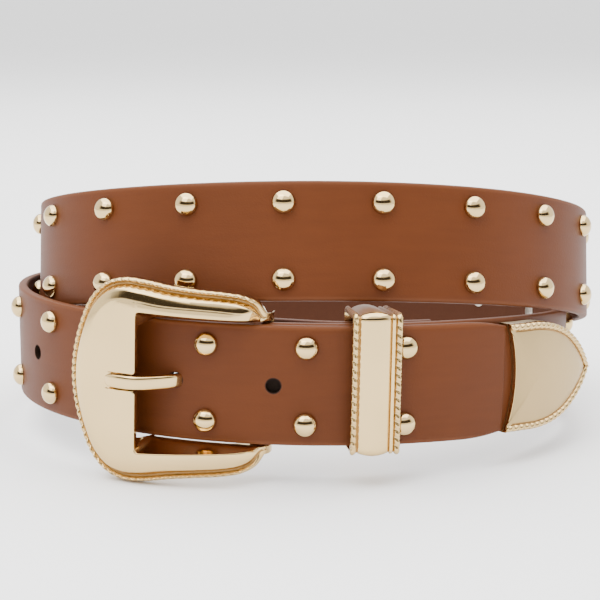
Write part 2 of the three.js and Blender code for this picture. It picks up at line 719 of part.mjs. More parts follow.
function strapBody() {
  let body = bodyFromRings(strapSections(), false);
  for (const column of [...BACK_OUTER, ...BETWEEN_TURNS]) {
    for (const { up } of ROWS) {
      const out = STRAP_THICKNESS / 2 - STUD_SINK;
      body = body.add(manifold(standing(studGeometry(), studLength(column), up, out)));
    }
  }
  for (const pitches of HOLE_PITCHES) {
    body = body.subtract(hole(usedHole + pitches * STUD_PITCH));
  }
  body = body.subtract(prongBody(CLEARANCE));
  const slot = ringRound(0, knuckleOuter + 2 * CLEARANCE, PRONG_WIDTH + 4 * CLEARANCE, bar, barOut);
  return body.subtract(slot);
}

const belt = new THREE.Group();
belt.add(named('strap', strapBody(), LEATHER));
belt.add(named('buckle_frame', frameBody().subtract(prongBody(CLEARANCE)), PALE_GOLD));
const knuckle = ringRound(knuckleInner, knuckleOuter, PRONG_WIDTH, bar, barOut);
const knuckleBore = ringRound(0, knuckleInner, 2 * PRONG_WIDTH, bar, barOut);
belt.add(named('prong', prongBody(0).subtract(knuckleBore).add(knuckle), PALE_GOLD));
belt.add(named('keeper', keeperBody(), PALE_GOLD));
belt.add(named('tip', tipBody(), SATIN_GOLD));
for (const { row, up } of ROWS) {
  FRONT_LOWER.forEach((column, i) => {
    belt.add(studMesh(`stud_lower_${row}_${i + 1}`, column, up));
  });
  FRONT_UPPER.forEach((column, i) => {
    belt.add(studMesh(`stud_upper_${row}_${i + 1}`, column, up));
  });
}

// The origin is the middle of the surface that the belt stands on.
const box = new THREE.Box3().setFromObject(belt);
const middle = box.getCenter(new THREE.Vector3());
belt.position.set(-middle.x, -middle.y, -box.min.z);
belt.updateMatrixWorld(true);

export default belt;
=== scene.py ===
"""Dresses the studded belt for rendering.

Every piece is modelled on the belt laid out straight, and then wound with the strap. In the
straight belt x runs along the strap from the heel bar towards the tip, -y points out of its face
and z runs up its width. Lengths in the tables and constants are in millimetres.
"""

import math
from collections import namedtuple

import bmesh
import bpy
import numpy as np
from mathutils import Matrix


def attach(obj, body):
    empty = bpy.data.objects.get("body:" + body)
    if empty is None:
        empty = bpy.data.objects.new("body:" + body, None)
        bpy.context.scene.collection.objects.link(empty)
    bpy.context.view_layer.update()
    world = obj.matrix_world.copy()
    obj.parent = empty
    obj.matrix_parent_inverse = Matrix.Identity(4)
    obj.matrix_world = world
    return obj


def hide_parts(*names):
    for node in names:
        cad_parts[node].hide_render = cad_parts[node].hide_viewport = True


bl_info = {
    "name": "Studded Belt",
    "version": (1, 0, 0),
    "blender": (4, 5, 0),
    "location": "3D View > Sidebar > Belt",
    "description": "Builds a wound leather belt with studs and a western buckle set",
    "category": "Add Mesh",
}

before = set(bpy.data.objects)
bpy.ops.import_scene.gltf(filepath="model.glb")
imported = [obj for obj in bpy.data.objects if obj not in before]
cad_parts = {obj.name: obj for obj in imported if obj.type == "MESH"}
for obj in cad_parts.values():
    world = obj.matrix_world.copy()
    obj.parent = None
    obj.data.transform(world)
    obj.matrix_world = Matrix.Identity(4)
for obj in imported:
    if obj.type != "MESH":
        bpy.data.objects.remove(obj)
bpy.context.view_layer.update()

MM = 0.001
NEAR = 1e-6

# The strap's route in the frame, in eighths of a turn: reach is a share of the half width and half
# depth, over counts the layers beneath, studs the stud heights beneath, rise is the lower edge as
# a share of the strap's width and lean is in degrees.
Row = namedtuple("Row", "reach over studs rise lean")
COIL = (
    Row(0.95, 0.0, 1.0, 0.30, 3),
    Row(1.02, 0.0, 0.4, 0.34, 3),
    Row(1.06, 0.0, 0.0, 0.32, 3),
    Row(1.02, 0.0, 0.0, 0.25, 3),
    Row(0.98, 0.0, 0.0, 0.00, 4),
    Row(0.94, 0.2, 0.2, -0.05, 7),
    Row(0.90, 0.3, 0.3, 0.15, 11),
    Row(0.90, 0.4, 0.4, 0.50, 14),
    Row(0.92, 0.5, 0.5, 0.98, 15),
    Row(0.93, 0.6, 0.6, 1.36, 15),
    Row(0.90, 0.8, 0.8, 1.53, 15),
    Row(0.92, 1.0, 1.0, 1.38, 15),
    Row(1.01, 1.0, 1.0, 0.90, 14),
    Row(0.98, 1.0, 1.0, 0.31, 11),
    Row(0.95, 1.0, 1.0, -0.14, 7),
    Row(0.93, 1.0, 1.0, 0.14, 4),
    Row(0.95, 1.0, 1.0, 0.30, 3),
    Row(1.02, 1.0, 0.4, 0.34, 3),
    Row(1.06, 1.0, 0.0, 0.32, 3),
    Row(1.03, 1.0, 0.0, 0.25, 3),
    Row(1.07, 1.0, 0.0, 0.03, 3),
    Row(1.14, 1.0, 0.0, -0.20, 3),
    Row(1.14, 1.0, 0.0, -0.10, 3),
)
ROWS_PER_TURN = 8
FIRST_TURN = -2 / ROWS_PER_TURN
SAMPLES_PER_TURN = 240
HALF_WIDTH, HALF_DEPTH = 89, 73
LAYER_STEP, STUD_STEP = 3.4, 3.6
ROUTE_ORIGIN = (-1.504, 1.388, 0.896)
BAR_TURN = -0.017

STRAP_WIDTH, STRAP_THICKNESS = 35, 3
FOLD_RADIUS, FOLD_LENGTH, FOLD_TAPER = 3.6, 50, 24
END_FROM_BAR, END_TAPER, END_HEIGHT, TONGUE_LENGTH = 74, 15, 31.8, 11
USED_HOLE_FROM_BAR, HOLE_BEFORE_STUD = 26.5, 9.2
STUD_PITCH, ROW_SPACING = 28.8, 22.4
STUD_COLUMNS, LOWER_COLUMNS, UPPER_COLUMNS = 34, range(0, 7), range(16, 25)
FIRST_STUD = HOLE_BEFORE_STUD - USED_HOLE_FROM_BAR + 2 * STUD_PITCH
STUD_FOOT, STUD_GAP = 0.2, 0.1
RIVET_RADIUS, RIVET_THICKNESS, RIVET_ROUND, RIVET_OUT = 2.7, 0.3, 0.12, 0.16
HOLE_PITCHES, HOLE_FLOOR, CUTTER_LENGTH = (0, -2, -1, 1, 2), 0.8, 20
SLOT_LENGTH, SLOT_WIDTH, SLOT_ROUND = 34, 5.6, 2
STRAP_STEPS_ALONG, STRAP_STEPS_UP = 1000, 14

# Where the leather's colours change: in from its edge, back from its face and round a hole, where
# painted shade darkens the hole and a soft rim about it.
EDGE_UP = (STRAP_WIDTH / 2 - 1.5, STRAP_WIDTH / 2 - 0.7)
LINING_BACK, HOLE_RIM = (0.9, 1.3), (2.15, 2.6)
WALL_SLOPE, WALL_REACH = 0.5, 0.55

# The frame's outline on its upper half: from the heel bar, as a share of the frame's length, and
# up, as a share of half its height.
Outline = namedtuple("Outline", "along up")
FRAME_OUTLINE = (
    Outline(0.00, 0.69),
    Outline(0.04, 0.80),
    Outline(0.11, 0.87),
    Outline(0.20, 0.90),
    Outline(0.32, 0.92),
    Outline(0.46, 0.95),
    Outline(0.58, 0.99),
    Outline(0.69, 1.00),
    Outline(0.79, 0.94),
    Outline(0.88, 0.78),
    Outline(0.95, 0.50),
    Outline(0.99, 0.22),
    Outline(1.00, 0.00),
)
FRAME_LENGTH, FRAME_HEIGHT = 56.7, 60
FRAME_POINTS, HEEL_POINTS = 1400, 40
WINDOW_END, WINDOW_CORNER, SHARP_CORNER = 34.2, 1.5, 0.1
WINDOW_HALF, BRIM_HALF, BRIM_HALF_AT_HEEL = 17.9, 20.7, 18.9
NOTCH_HALF, NOTCH_CORNER, NOTCH_DEPTH, NOTCH_FLOOR = 2.3, 1.3, 1.5, 5.0
BAR_RADIUS, BAR_OUT, END_BAR_BACK, ARM_RISE = 1.6, -7.0, 5.0, 0.35
HOLLOW_HEIGHT, SKIRT_OUT, SKIRT_REACH = 4.9, 0.2, 0.5

# The number of each finish among a gold piece's materials.
FINISH_NUMBERS = {"polish": 0, "rope": 1, "groove": 2, "satin": 0}

# The frame's section from its outer edge in to the face: distance from the edge, height, how
# much of the rope's strands shows and the finish of the band that ends there.
Band = namedtuple("Band", "inward height strand finish", defaults=(0, "polish"))
FRAME_BANDS = (
    Band(0.30, 0.25),
    Band(0.05, 0.60),
    Band(0.00, 2.50, 0.1, "polish"),
    Band(0.06, 3.20, 0.3, "rope"),
    Band(0.25, 3.75, 0.8, "rope"),
    Band(0.55, 4.10, 1.0, "rope"),
    Band(0.85, 4.10, 1.0, "rope"),
    Band(1.15, 3.80, 0.9, "rope"),
    Band(1.35, 3.45, 0.5, "rope"),
    Band(1.45, 3.20, 0.0, "groove"),
    Band(1.75, 3.05, 0.0, "groove"),
    Band(2.00, 3.15, 0.0, "groove"),
    Band(2.08, 3.45),
    Band(2.22, 3.75),
    Band(2.45, 4.20),
    Band(2.70, 4.67),
    Band(2.95, 5.12),
    Band(3.15, 5.42),
    Band(3.30, 5.60),
    Band(3.45, 5.73),
    Band(3.60, 5.81),
    Band(3.75, 5.87),
    Band(4.10, 5.98),
    Band(4.50, 6.10),
    Band(4.90, 6.21),
    Band(5.30, 6.30),
    Band(5.70, 6.38),
    Band(6.00, 6.42),
)
GROOVE_INNER, GROOVE_HEIGHT = 2.02, 3.2

# Where each change of the section begins and ends: along the frame from the heel bar, by the
# width of the metal from the outer edge to the window, and across the window and the notch.
SECTION_ALONG, STRANDS_ALONG = (-1.2, 2.0), (1.0, 5.0)
SQUARE_BY_WIDTH, BEVEL_BY_WIDTH = (2.0, 8.0), (GROOVE_INNER, 10.0)
FACE_BY_WIDTH, EDGING_WIDTH = (0.5 * GROOVE_INNER, 8.0), 1.3 * GROOVE_INNER
HOLLOW_ALONG, HOLLOW_ACROSS = (WINDOW_END - 0.6, WINDOW_END - 0.2), (0.3, 1.8)
SEAT_ACROSS, SEAT_START, SEAT_END = (NOTCH_HALF - 0.15, NOTCH_HALF + 0.2), (30, 33), (40.6, 42.4)

# The face from the bands in to the window: share of the way and height.
Crown = namedtuple("Crown", "share height")
FRAME_CROWN = (
    Crown(0.06, 6.43),
    Crown(0.25, 6.50),
    Crown(0.50, 6.55),
    Crown(0.70, 6.57),
    Crown(0.88, 6.55),
    Crown(0.97, 6.50),
    Crown(1.00, 6.34),
)
FACE_RIM = 6.34

# The window's wall from the brim in to the frame's back: share of the way and height.
FRAME_WALL = (
    Crown(0.03, 6.14),
    Crown(0.30, 5.00),
    Crown(0.65, 3.20),
    Crown(1.00, 1.10),
    Crown(1.00, 0.00),
)

# The frame's back from the window out: share of the width and height where it is hollow.
FRAME_INSIDE = (
    Crown(0.14, 5.0),
    Crown(0.38, 5.0),
    Crown(0.62, 3.2),
    Crown(0.86, 0.0),
)

# The keeper's section across its face, a rope strip on either side: along the strap, height over
# its wall, strands, finish.
Strip = namedtuple("Strip", "along height strand finish", defaults=(0, "polish"))
KEEPER_ROPE = (
    Strip(-7.00, 0.15),
    Strip(-7.00, 0.70, 0.3, "polish"),
    Strip(-6.85, 1.20, 0.8, "rope"),
    Strip(-6.50, 1.55, 1.0, "rope"),
    Strip(-6.10, 1.60, 1.0, "rope"),
    Strip(-5.70, 1.45, 0.9, "rope"),
    Strip(-5.35, 1.05, 0.4, "rope"),
)
KEEPER_FACE = (
    Strip(-5.15, 0.75, 0.0, "groove"),
    Strip(-4.95, 0.75, 0.0, "groove"),
    Strip(-4.80, 1.00),
    Strip(-3.90, 1.45),
    Strip(-2.60, 1.85),
    Strip(-0.80, 2.10),
    Strip(1.00, 1.95),
    Strip(2.60, 1.50),
    Strip(3.60, 1.05),
    Strip(3.80, 0.80, 0.0, "groove"),
    Strip(3.95, 1.15),
    Strip(4.25, 1.45),
    Strip(4.65, 1.45),
    Strip(4.95, 1.15),
    Strip(5.10, 0.75, 0.0, "groove"),
)
KEEPER_STRIPS = KEEPER_ROPE + KEEPER_FACE + tuple(
    strip._replace(along=-strip.along) for strip in reversed(KEEPER_ROPE))
KEEPER_INSIDE = (6.9, 2.5, -2.5, -6.9)
KEEPER_FROM_BAR, KEEPER_LIFT = 30.8, 1.25
KEEPER_HALF, KEEPER_FRONT, KEEPER_BACK, KEEPER_CORNER = 19.1, 5.0, 9.2, 0.3
KEEPER_POINTS, KEEPER_CORNER_POINTS = 720, 13
KEEPER_BACK_SHARE, KEEPER_TURN = 0.45, (0.1, 0.6)

# The tip's outline on its upper half, and its section from the edge in.
TIP_OUTLINE = (
    Outline(0.00, 1.00),
    Outline(0.15, 1.00),
    Outline(0.30, 1.00),
    Outline(0.46, 0.94),
    Outline(0.62, 0.80),
    Outline(0.78, 0.56),
    Outline(0.91, 0.28),
    Outline(1.00, 0.00),
)
TIP_BANDS = (
    Band(0.35, -2.60, 0.0, "satin"),
    Band(0.05, -2.20, 0.0, "satin"),
    Band(0.00, 1.40, 0.0, "satin"),
    Band(0.05, 2.10, 0.5, "rope"),
    Band(0.35, 2.75, 0.9, "rope"),
    Band(0.80, 3.10, 1.0, "rope"),
    Band(1.25, 3.15, 1.0, "rope"),
    Band(1.70, 2.95, 1.0, "rope"),
    Band(2.05, 2.60, 0.6, "rope"),
    Band(2.20, 2.20, 0.0, "groove"),
    Band(2.45, 2.15, 0.0, "groove"),
    Band(2.60, 2.45, 0.0, "satin"),
)
TIP_BACK_SHARES = (0.5, 0.8)
TIP_CROWN_SHARES = (0.12, 0.3, 0.5, 0.7, 0.85, 0.95, 1.0)
TIP_POINTS, MOUTH_POINTS = 560, 60
BORDER_ALONG, MOUTH_SPREAD = (0.0, 0.8), 0.15
TIP_LENGTH, TIP_HALF, TIP_SAG, TIP_GAP = 43.5, 16.5, 3.2, 0.3
TIP_POINT, TIP_MIDDLE, TIP_SPINE_INSET = 7, 18, 9
TIP_BACK, TIP_MOUTH, TIP_SHOULDER, TIP_CROWN = -2.6, 2.45, 2.5, 0.75

# The rope edges: how steeply the strands lie, how round they are, and the share of their relief
# that is under the edge's own height.
STRAND_SLANT, STRAND_ROUNDNESS, STRAND_MIDDLE = 0.3, 0.8, 0.6

# The prong's route in the plane across the belt: from the bar, out, half width, half thickness.
Station = namedtuple("Station", "start out half_width half_thick")
PRONG_ROUTE = (
    Station(1.0, -4.1, 1.9, 0.7),
    Station(5.0, -4.0, 2.0, 0.9),
    Station(12.0, -3.6, 2.0, 1.1),
    Station(19.0, -3.1, 2.0, 1.1),
    Station(23.0, -2.6, 1.95, 1.2),
    Station(24.9, -1.2, 1.95, 1.3),
    Station(25.7, 1.4, 1.95, 1.3),
    Station(26.9, 3.8, 2.0, 1.3),
    Station(29.2, 6.4, 2.0, 1.3),
    Station(31.6, 8.8, 2.0, 1.3),
    Station(33.8, 10.5, 2.0, 1.3),
    Station(35.8, 11.2, 2.0, 1.3),
    Station(38.5, 11.3, 1.98, 1.3),
    Station(41.0, 11.1, 1.9, 1.2),
    Station(42.4, 10.85, 1.6, 1.0),
    Station(43.0, 10.7, 1.1, 0.7),
    Station(43.15, 10.6, 0.6, 0.4),
)
PRONG_SIDES, PRONG_ROUNDNESS = 40, 0.5
KNUCKLE_RADIUS, KNUCKLE_WIDTH, KNUCKLE_WALL, KNUCKLE_ROUND = 3.5, 4, 1.4, 0.4

# Painted shade on the metal that the strap shades, from behind the end bar to the heel bar, and a
# painted reflection of the leather on the keeper's top: where each begins and ends.
SHADE_START, SHADE_END = (-27.5, -27.0), (2.4, 2.8)
SHADE_OUT, SHADE_UP = (0.7, 1.4), (STRAP_WIDTH / 2 - 0.4, STRAP_WIDTH / 2)
TOP_ALONG = (KEEPER_FROM_BAR - 7.8, KEEPER_FROM_BAR - 7.4)
TOP_UP = (KEEPER_HALF + 0.7, KEEPER_HALF + 1.1)
TOP_OUT = (KEEPER_FRONT - 0.4, KEEPER_FRONT + 0.2)

CAMERA_LENS, CAMERA_SENSOR = 90, 36
CAMERA_PLACE, CAMERA_DOWN = (0, -497, 139.3), 11.6
Lamp = namedtuple("Lamp", "name place size power")
LAMPS = (
    Lamp("key", (-0.5, -0.7, 1.1), 0.9, 8),
    Lamp("top", (0.0, 0.2, 1.4), 2.2, 60),
)
LAMP_TARGET = (0, 0, 0.04)
FLOOR_SIZE, FLOOR_DROP = 60, 0.0002
SKY_STRENGTH, SKY_PALE, SKY_DARK = 2.0, (1, 1, 1), (0.04, 0.035, 0.03)
BAND_BOTTOM, BAND_TOP, BAND_AHEAD = (0.10, 0.18), (0.46, 0.60), (0.1, 0.5)


# Route

def smooth_column(turns, name):
    column = np.array([getattr(row, name) for row in COIL])
    spot = (turns - FIRST_TURN) * ROWS_PER_TURN
    row = np.clip(np.floor(spot).astype(int), 1, len(COIL) - 3)
    part = spot - row
    weights = (
        (1 - part) ** 3,
        3 * part ** 3 - 6 * part ** 2 + 4,
        -3 * part ** 3 + 3 * part ** 2 + 3 * part + 1,
        part ** 3,
    )
    return sum(weight * column[row - 1 + i] for i, weight in enumerate(weights)) / 6


def unit(vectors):
    return vectors / np.linalg.norm(vectors, axis=1, keepdims=True)


def dot(a, b):
    return (a * b).sum(axis=1, keepdims=True)


def lower_edge(turns):
    angle = 2 * math.pi * turns
    reach = smooth_column(turns, "reach")
    outward = unit(np.stack(
        [HALF_DEPTH * np.sin(angle), -HALF_WIDTH * np.cos(angle), 0 * angle], axis=1))
    layers = smooth_column(turns, "over") * LAYER_STEP + smooth_column(turns, "studs") * STUD_STEP
    edge = np.stack([
        HALF_WIDTH * reach * np.sin(angle),
        -HALF_DEPTH * reach * np.cos(angle),
        STRAP_WIDTH * smooth_column(turns, "rise"),
    ], axis=1)
    return edge + outward * layers[:, None]


class Route:
    """Winds points of the straight belt on to the strap's route."""

    def __init__(self):
        last_turn = FIRST_TURN + (len(COIL) - 2) / ROWS_PER_TURN
        first = SAMPLES_PER_TURN // ROWS_PER_TURN
        count = math.ceil((last_turn - FIRST_TURN) * SAMPLES_PER_TURN)
        turns = FIRST_TURN + np.arange(first, count) / SAMPLES_PER_TURN
        nudge = 0.25 / SAMPLES_PER_TURN
        self.along = unit(lower_edge(turns + nudge) - lower_edge(turns - nudge))
        lean = np.radians(smooth_column(turns, "lean"))
        up = np.stack([0 * lean, np.sin(lean), np.cos(lean)], axis=1)
        self.up = unit(up - self.along * dot(up, self.along))
        self.out = np.cross(self.along, self.up)
        self.middle = lower_edge(turns) + self.up * STRAP_WIDTH / 2
        steps = np.linalg.norm(np.diff(self.middle, axis=0), axis=1)
        self.lengths = np.concatenate([[0], np.cumsum(steps)])
        self.bar = np.interp(2 + BAR_TURN, turns, self.lengths)
        self.fold = np.interp(BAR_TURN, turns, self.lengths)
        self.start = self.fold - math.pi * FOLD_RADIUS - FOLD_LENGTH - self.bar

    def at(self, column, lengths):
        return np.stack(
            [np.interp(lengths, self.lengths, column[:, axis]) for axis in range(3)], axis=1)

    def wind(self, points):
        """Millimetres of the straight belt to millimetres of the frame."""
        x, out, up = points[:, 0], -points[:, 1], points[:, 2]
        length = self.bar + x
        past_fold = np.maximum(self.fold - length, 0)
        turned = np.minimum(past_fold / FOLD_RADIUS, math.pi)
        back = np.maximum(past_fold - math.pi * FOLD_RADIUS, 0)
        spread = np.clip((FOLD_TAPER - back) / FOLD_TAPER, 0, 1)
        spread = spread * spread * (3 - 2 * spread)
        depth = np.where(
            back > 0,
            LAYER_STEP + (2 * FOLD_RADIUS - LAYER_STEP) * spread,
            FOLD_RADIUS * (1 - np.cos(turned)),
        )
        folded = self.fold - FOLD_RADIUS * np.sin(turned) + back
        length = np.where(past_fold > 0, folded, length)
        along = self.at(self.along, length)
        outward = self.at(self.out, length)
        thick = outward * np.cos(turned)[:, None] - along * np.sin(turned)[:, None]
        return (
            self.at(self.middle, length) + self.at(self.up, length) * up[:, None]
            - outward * depth[:, None] + thick * out[:, None] + np.array(ROUTE_ORIGIN)
        )


ROUTE = Route()


def curve_through(points, per_span):
    """Points of a smooth curve through all of the given ones."""
    points = np.array(points, float)
    knots = np.sqrt(np.linalg.norm(np.diff(points[:, :2], axis=0), axis=1))
    t = np.concatenate([[0], np.cumsum(knots)])
    slopes = np.diff(points, axis=0) / knots[:, None]
    inner = (slopes[:-1] * knots[1:, None] + slopes[1:] * knots[:-1, None])
    inner = inner / (knots[:-1] + knots[1:])[:, None]
    tangents = np.vstack([slopes[:1], inner, slopes[-1:]])
    curve = []
    for i, knot in enumerate(knots):
        share = np.arange(per_span)[:, None] / per_span
        curve.append(
            (2 * share ** 3 - 3 * share ** 2 + 1) * points[i]
            + (share ** 3 - 2 * share ** 2 + share) * knot * tangents[i]
            + (3 * share ** 2 - 2 * share ** 3) * points[i + 1]
            + (share ** 3 - share ** 2) * knot * tangents[i + 1])
    return np.vstack(curve + [points[-1:]])


def evenly(points, count, closed):
    """The same line with count points at even steps, and their lengths along it."""
    if closed:
        points = np.vstack([points, points[:1]])
    lengths = np.concatenate([[0], np.cumsum(np.linalg.norm(np.diff(points, axis=0), axis=1))])
    wanted = np.linspace(0, lengths[-1], count, endpoint=not closed)
    even = np.stack([np.interp(wanted, lengths, points[:, i]) for i in range(points.shape[1])], 1)
    return even, wanted


def step_up(value, low, high):
    share = np.clip((value - low) / (high - low), 0, 1)
    return share * share * (3 - 2 * share)


def rope_height(sizes, lengths, total, inward):
    """How far the rope's strands rise over its middle height, at lengths along the edge."""
    count = round(total / (sizes.rope_pitch / MM))
    turns = lengths * count / total + STRAND_SLANT * inward
    wave = np.abs(np.sin(math.pi * turns)) ** STRAND_ROUNDNESS
    return sizes.rope_relief / MM * (wave - STRAND_MIDDLE)


def stud_places():
    """Column, row, length from the bar and height up the strap of each stud."""
    for column in range(STUD_COLUMNS):
        for row, up in (("top", ROW_SPACING / 2), ("bottom", -ROW_SPACING / 2)):
            yield column, row, FIRST_STUD - column * STUD_PITCH, up


# Modelling

def deselect():
    bpy.ops.object.select_all(action="DESELECT")


def settle():
    """The active object keeps its place in its mesh."""
    bpy.ops.object.transform_apply(location=True, rotation=True, scale=True)


def shade(obj, degrees):
    bpy.ops.object.shade_smooth_by_angle(angle=math.radians(degrees))
    return obj


def modify(obj, kind, **settings):
    """Adds a modifier to the active object and applies it."""
    modifier = obj.modifiers.new(kind.lower(), kind)
    for name, value in settings.items():
        setattr(modifier, name, value)
    bpy.ops.object.modifier_apply(modifier=modifier.name)


def join(pieces):
    """Joins the pieces into the first of them."""
    deselect()
    for piece in pieces:
        piece.select_set(True)
    bpy.context.view_layer.objects.active = pieces[0]
    bpy.ops.object.join()
    return pieces[0]


def edit_all():
    """Opens the active mesh for editing, all of it selected."""
    bpy.ops.object.mode_set(mode="EDIT")
    bpy.ops.mesh.select_all(action="SELECT")


def close_mesh():
    """Turns all faces outwards and ends the editing."""
    bpy.ops.mesh.select_all(action="SELECT")
    bpy.ops.mesh.normals_make_consistent(inside=False)
    bpy.ops.object.mode_set(mode="OBJECT")


class Section:
    """The rings of a lofted piece, each with the finish of the band that ends there."""

    def __init__(self):
        self.rings = []
        self.finishes = []

    def add(self, ring, finish="polish"):
        self.rings.append(ring)
        self.finishes.append(FINISH_NUMBERS[finish])


def loft(name, section, caps=False):
    """A circle takes the first ring's form and each further ring is extruded from it.

    With caps both ends are filled.
    """
    first = section.rings[0]
    deselect()
    bpy.ops.mesh.primitive_circle_add(vertices=len(first), radius=0.01)
    obj = bpy.context.object
    obj.name = name
    bpy.ops.object.mode_set(mode="EDIT")
    mesh = bmesh.from_edit_mesh(obj.data)
    edge = list(mesh.verts)
    for vert, point in zip(edge, first):
        vert.co = point
    if caps:
        bpy.ops.mesh.edge_face_add()
        bpy.ops.mesh.select_all(action="DESELECT")
        mesh = bmesh.from_edit_mesh(obj.data)
        for face in mesh.faces:
            face.select = False
        for item in mesh.edges:
            item.select = True
    spots = list(range(len(first)))
    for ring, finish in zip(section.rings[1:], section.finishes[1:]):
        bpy.ops.mesh.extrude_edges_move()
        mesh = bmesh.from_edit_mesh(obj.data)
        mesh.verts.ensure_lookup_table()
        fresh = []
        for spot, point in zip(spots, ring):
            vert = next(
                item.other_vert(mesh.verts[spot]) for item in mesh.verts[spot].link_edges
                if item.other_vert(mesh.verts[spot]).select)
            vert.co = point
            fresh.append(vert)
        mesh.verts.index_update()
        spots = [vert.index for vert in fresh]
        for vert in fresh:
            for face in vert.link_faces:
                face.material_index = finish
        bmesh.update_edit_mesh(obj.data)
    if caps:
        bpy.ops.mesh.edge_face_add()
    bpy.ops.mesh.select_all(action="SELECT")
    bpy.ops.mesh.remove_doubles(threshold=NEAR)
    close_mesh()
    return obj


def read_points(obj):
    points = np.empty(3 * len(obj.data.vertices))
    obj.data.vertices.foreach_get("co", points)
    return points.reshape(-1, 3)


def write_points(obj, points):
    obj.data.vertices.foreach_set("co", points.ravel())
    obj.data.update()


def wind(obj):
    """Lays a straight piece on the route and keeps its straight place in an attribute."""
    straight = read_points(obj)
    laid = obj.data.attributes.new("laid", "FLOAT_VECTOR", "POINT")
    laid.data.foreach_set("vector", straight.ravel())
    write_points(obj, ROUTE.wind(straight / MM) * MM)


def hand_over(obj, nodes, materials):
    """A wound piece gets its materials and its place in the frame."""
    wind(obj)
    for number, material in enumerate(materials):
        if number < len(obj.data.materials):
            obj.data.materials[number] = material
        else:
            obj.data.materials.append(material)
    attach(obj, "root")
    if nodes:
        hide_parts(*nodes)
    return obj


def copy_of(obj, name):
    twin = obj.copy()
    twin.data = obj.data.copy()
    twin.name = name
    bpy.context.collection.objects.link(twin)
    return twin


def shift_by(obj, offset):
    write_points(obj, read_points(obj) + np.array(offset))


# Materials

class Wire:
    """A socket of a material, in sums."""

    def __init__(self, shader, socket):
        self.shader = shader
        self.socket = socket

    def math(self, operation, *values):
        return self.shader.node("ShaderNodeMath", {"operation": operation}, dict(enumerate(values)))

    def __add__(self, other):
        return self.math("ADD", self, other)

    def __sub__(self, other):
        return self.math("SUBTRACT", self, other)

    def __rsub__(self, other):
        return self.math("SUBTRACT", other, self)

    def __mul__(self, other):
        return self.math("MULTIPLY", self, other)

    def __truediv__(self, other):
        return self.math("DIVIDE", self, other)

    def __abs__(self):
        return self.math("ABSOLUTE", self)

    __radd__ = __add__
    __rmul__ = __mul__

    def root(self):
        return self.math("SQRT", self)

    def within(self, low, high):
        """0 below low and 1 above high, with a smooth step between."""
        return self.shader.node(
            "ShaderNodeMapRange", {"interpolation_type": "SMOOTHSTEP"},
            {"Value": self, "From Min": low, "From Max": high})


class Shader:
    """A material or world, built node by node."""

    def __init__(self, tree):
        self.tree = tree
        self.tree.nodes.clear()

    def node(self, kind, settings, inputs, output=0):
        node = self.tree.nodes.new(kind)
        for name, value in settings.items():
            setattr(node, name, value)
        for name, value in inputs.items():
            if isinstance(value, Wire):
                self.tree.links.new(value.socket, node.inputs[name])
            else:
                node.inputs[name].default_value = value
        return Wire(self, node.outputs[output]) if node.outputs else None

    def mix(self, share, first, second):
        """Colours mixed; their sockets on the Mix node are numbers 6 and 7."""
        return self.node("ShaderNodeMix", {"data_type": "RGBA"}, {0: share, 6: first, 7: second}, 2)

    def noise(self, where, scale, detail):
        return self.node(
            "ShaderNodeTexNoise", {}, {"Vector": where, "Scale": scale, "Detail": detail})

    def stretched(self, where, scale):
        return self.node("ShaderNodeMapping", {}, {"Vector": where, "Scale": scale})

    def bump(self, height, strength, distance):
        return self.node(
            "ShaderNodeBump", {}, {"Height": height, "Strength": strength, "Distance": distance})


def new_material(name):
    material = bpy.data.materials.new(name)
    material.use_nodes = True
    return material, Shader(material.node_tree)


def surface(shader, inputs):
    body = shader.node("ShaderNodeBsdfPrincipled", {}, inputs)
    shader.node("ShaderNodeOutputMaterial", {}, {"Surface": body})


def opaque(colour):
    return (*colour, 1.0)


def straight_place(shader):
    laid = shader.node("ShaderNodeAttribute", {"attribute_name": "laid"}, {}, 1)
    parts = [shader.node("ShaderNodeSeparateXYZ", {}, {0: laid}, i) for i in range(3)]
    along, out, up = (part / MM for part in parts)
    return laid, along, 0 - out, up


def leather(colours):
    material, shader = new_material("smooth_leather")
    laid, along, out, up = straight_place(shader)
    cloud = shader.noise(laid, scale=38, detail=3)
    streak = shader.noise(shader.stretched(laid, (1, 1, 7)), scale=60, detail=4)
    grain = shader.noise(laid, scale=1900, detail=3)
    pores = shader.node("ShaderNodeTexVoronoi", {}, {"Vector": laid, "Scale": 1500})
    tone = (cloud * 0.6 + streak * 0.4).within(0.34, 0.66)
    face = shader.mix(tone, opaque(colours.leather_dark), opaque(colours.leather))
    face = shader.mix(abs(up).within(*EDGE_UP) * 0.8, face, opaque(colours.leather_edge))
    inside = (0 - out).within(*LINING_BACK)
    felt = shader.noise(laid, scale=700, detail=4)
    lining = shader.mix(felt, opaque(colours.lining_dark), opaque(colours.lining))
    colour = shader.mix(inside, face, lining)
    # Painted shade in the holes: a dark disc on both faces and on the holes' floors, with a soft
    # rim round it.
    first_hole = min(HOLE_PITCHES) * STUD_PITCH - USED_HOLE_FROM_BAR
    offset = (along - (first_hole - STUD_PITCH / 2)) / STUD_PITCH
    beside = (offset.math("FRACT", offset) - 0.5) * STUD_PITCH
    radius = (beside * beside + up * up).root()
    count = len(HOLE_PITCHES)
    row = offset.within(-0.01, 0) * (1 - offset.within(count, count + 0.01))
    hole = (1 - radius.within(*HOLE_RIM)) * row
    colour = shader.mix(hole, colour, opaque(colours.hole))
    height = grain * 0.5 + pores * 0.35 + streak * 0.5
    surface(shader, {
        "Base Color": colour,
        "Roughness": 0.48 + 0.1 * cloud + 0.12 * inside + 0.4 * hole,
        "Specular IOR Level": 0.2,
        "Normal": shader.bump(height, strength=0.22, distance=0.0002),
    })
    return material


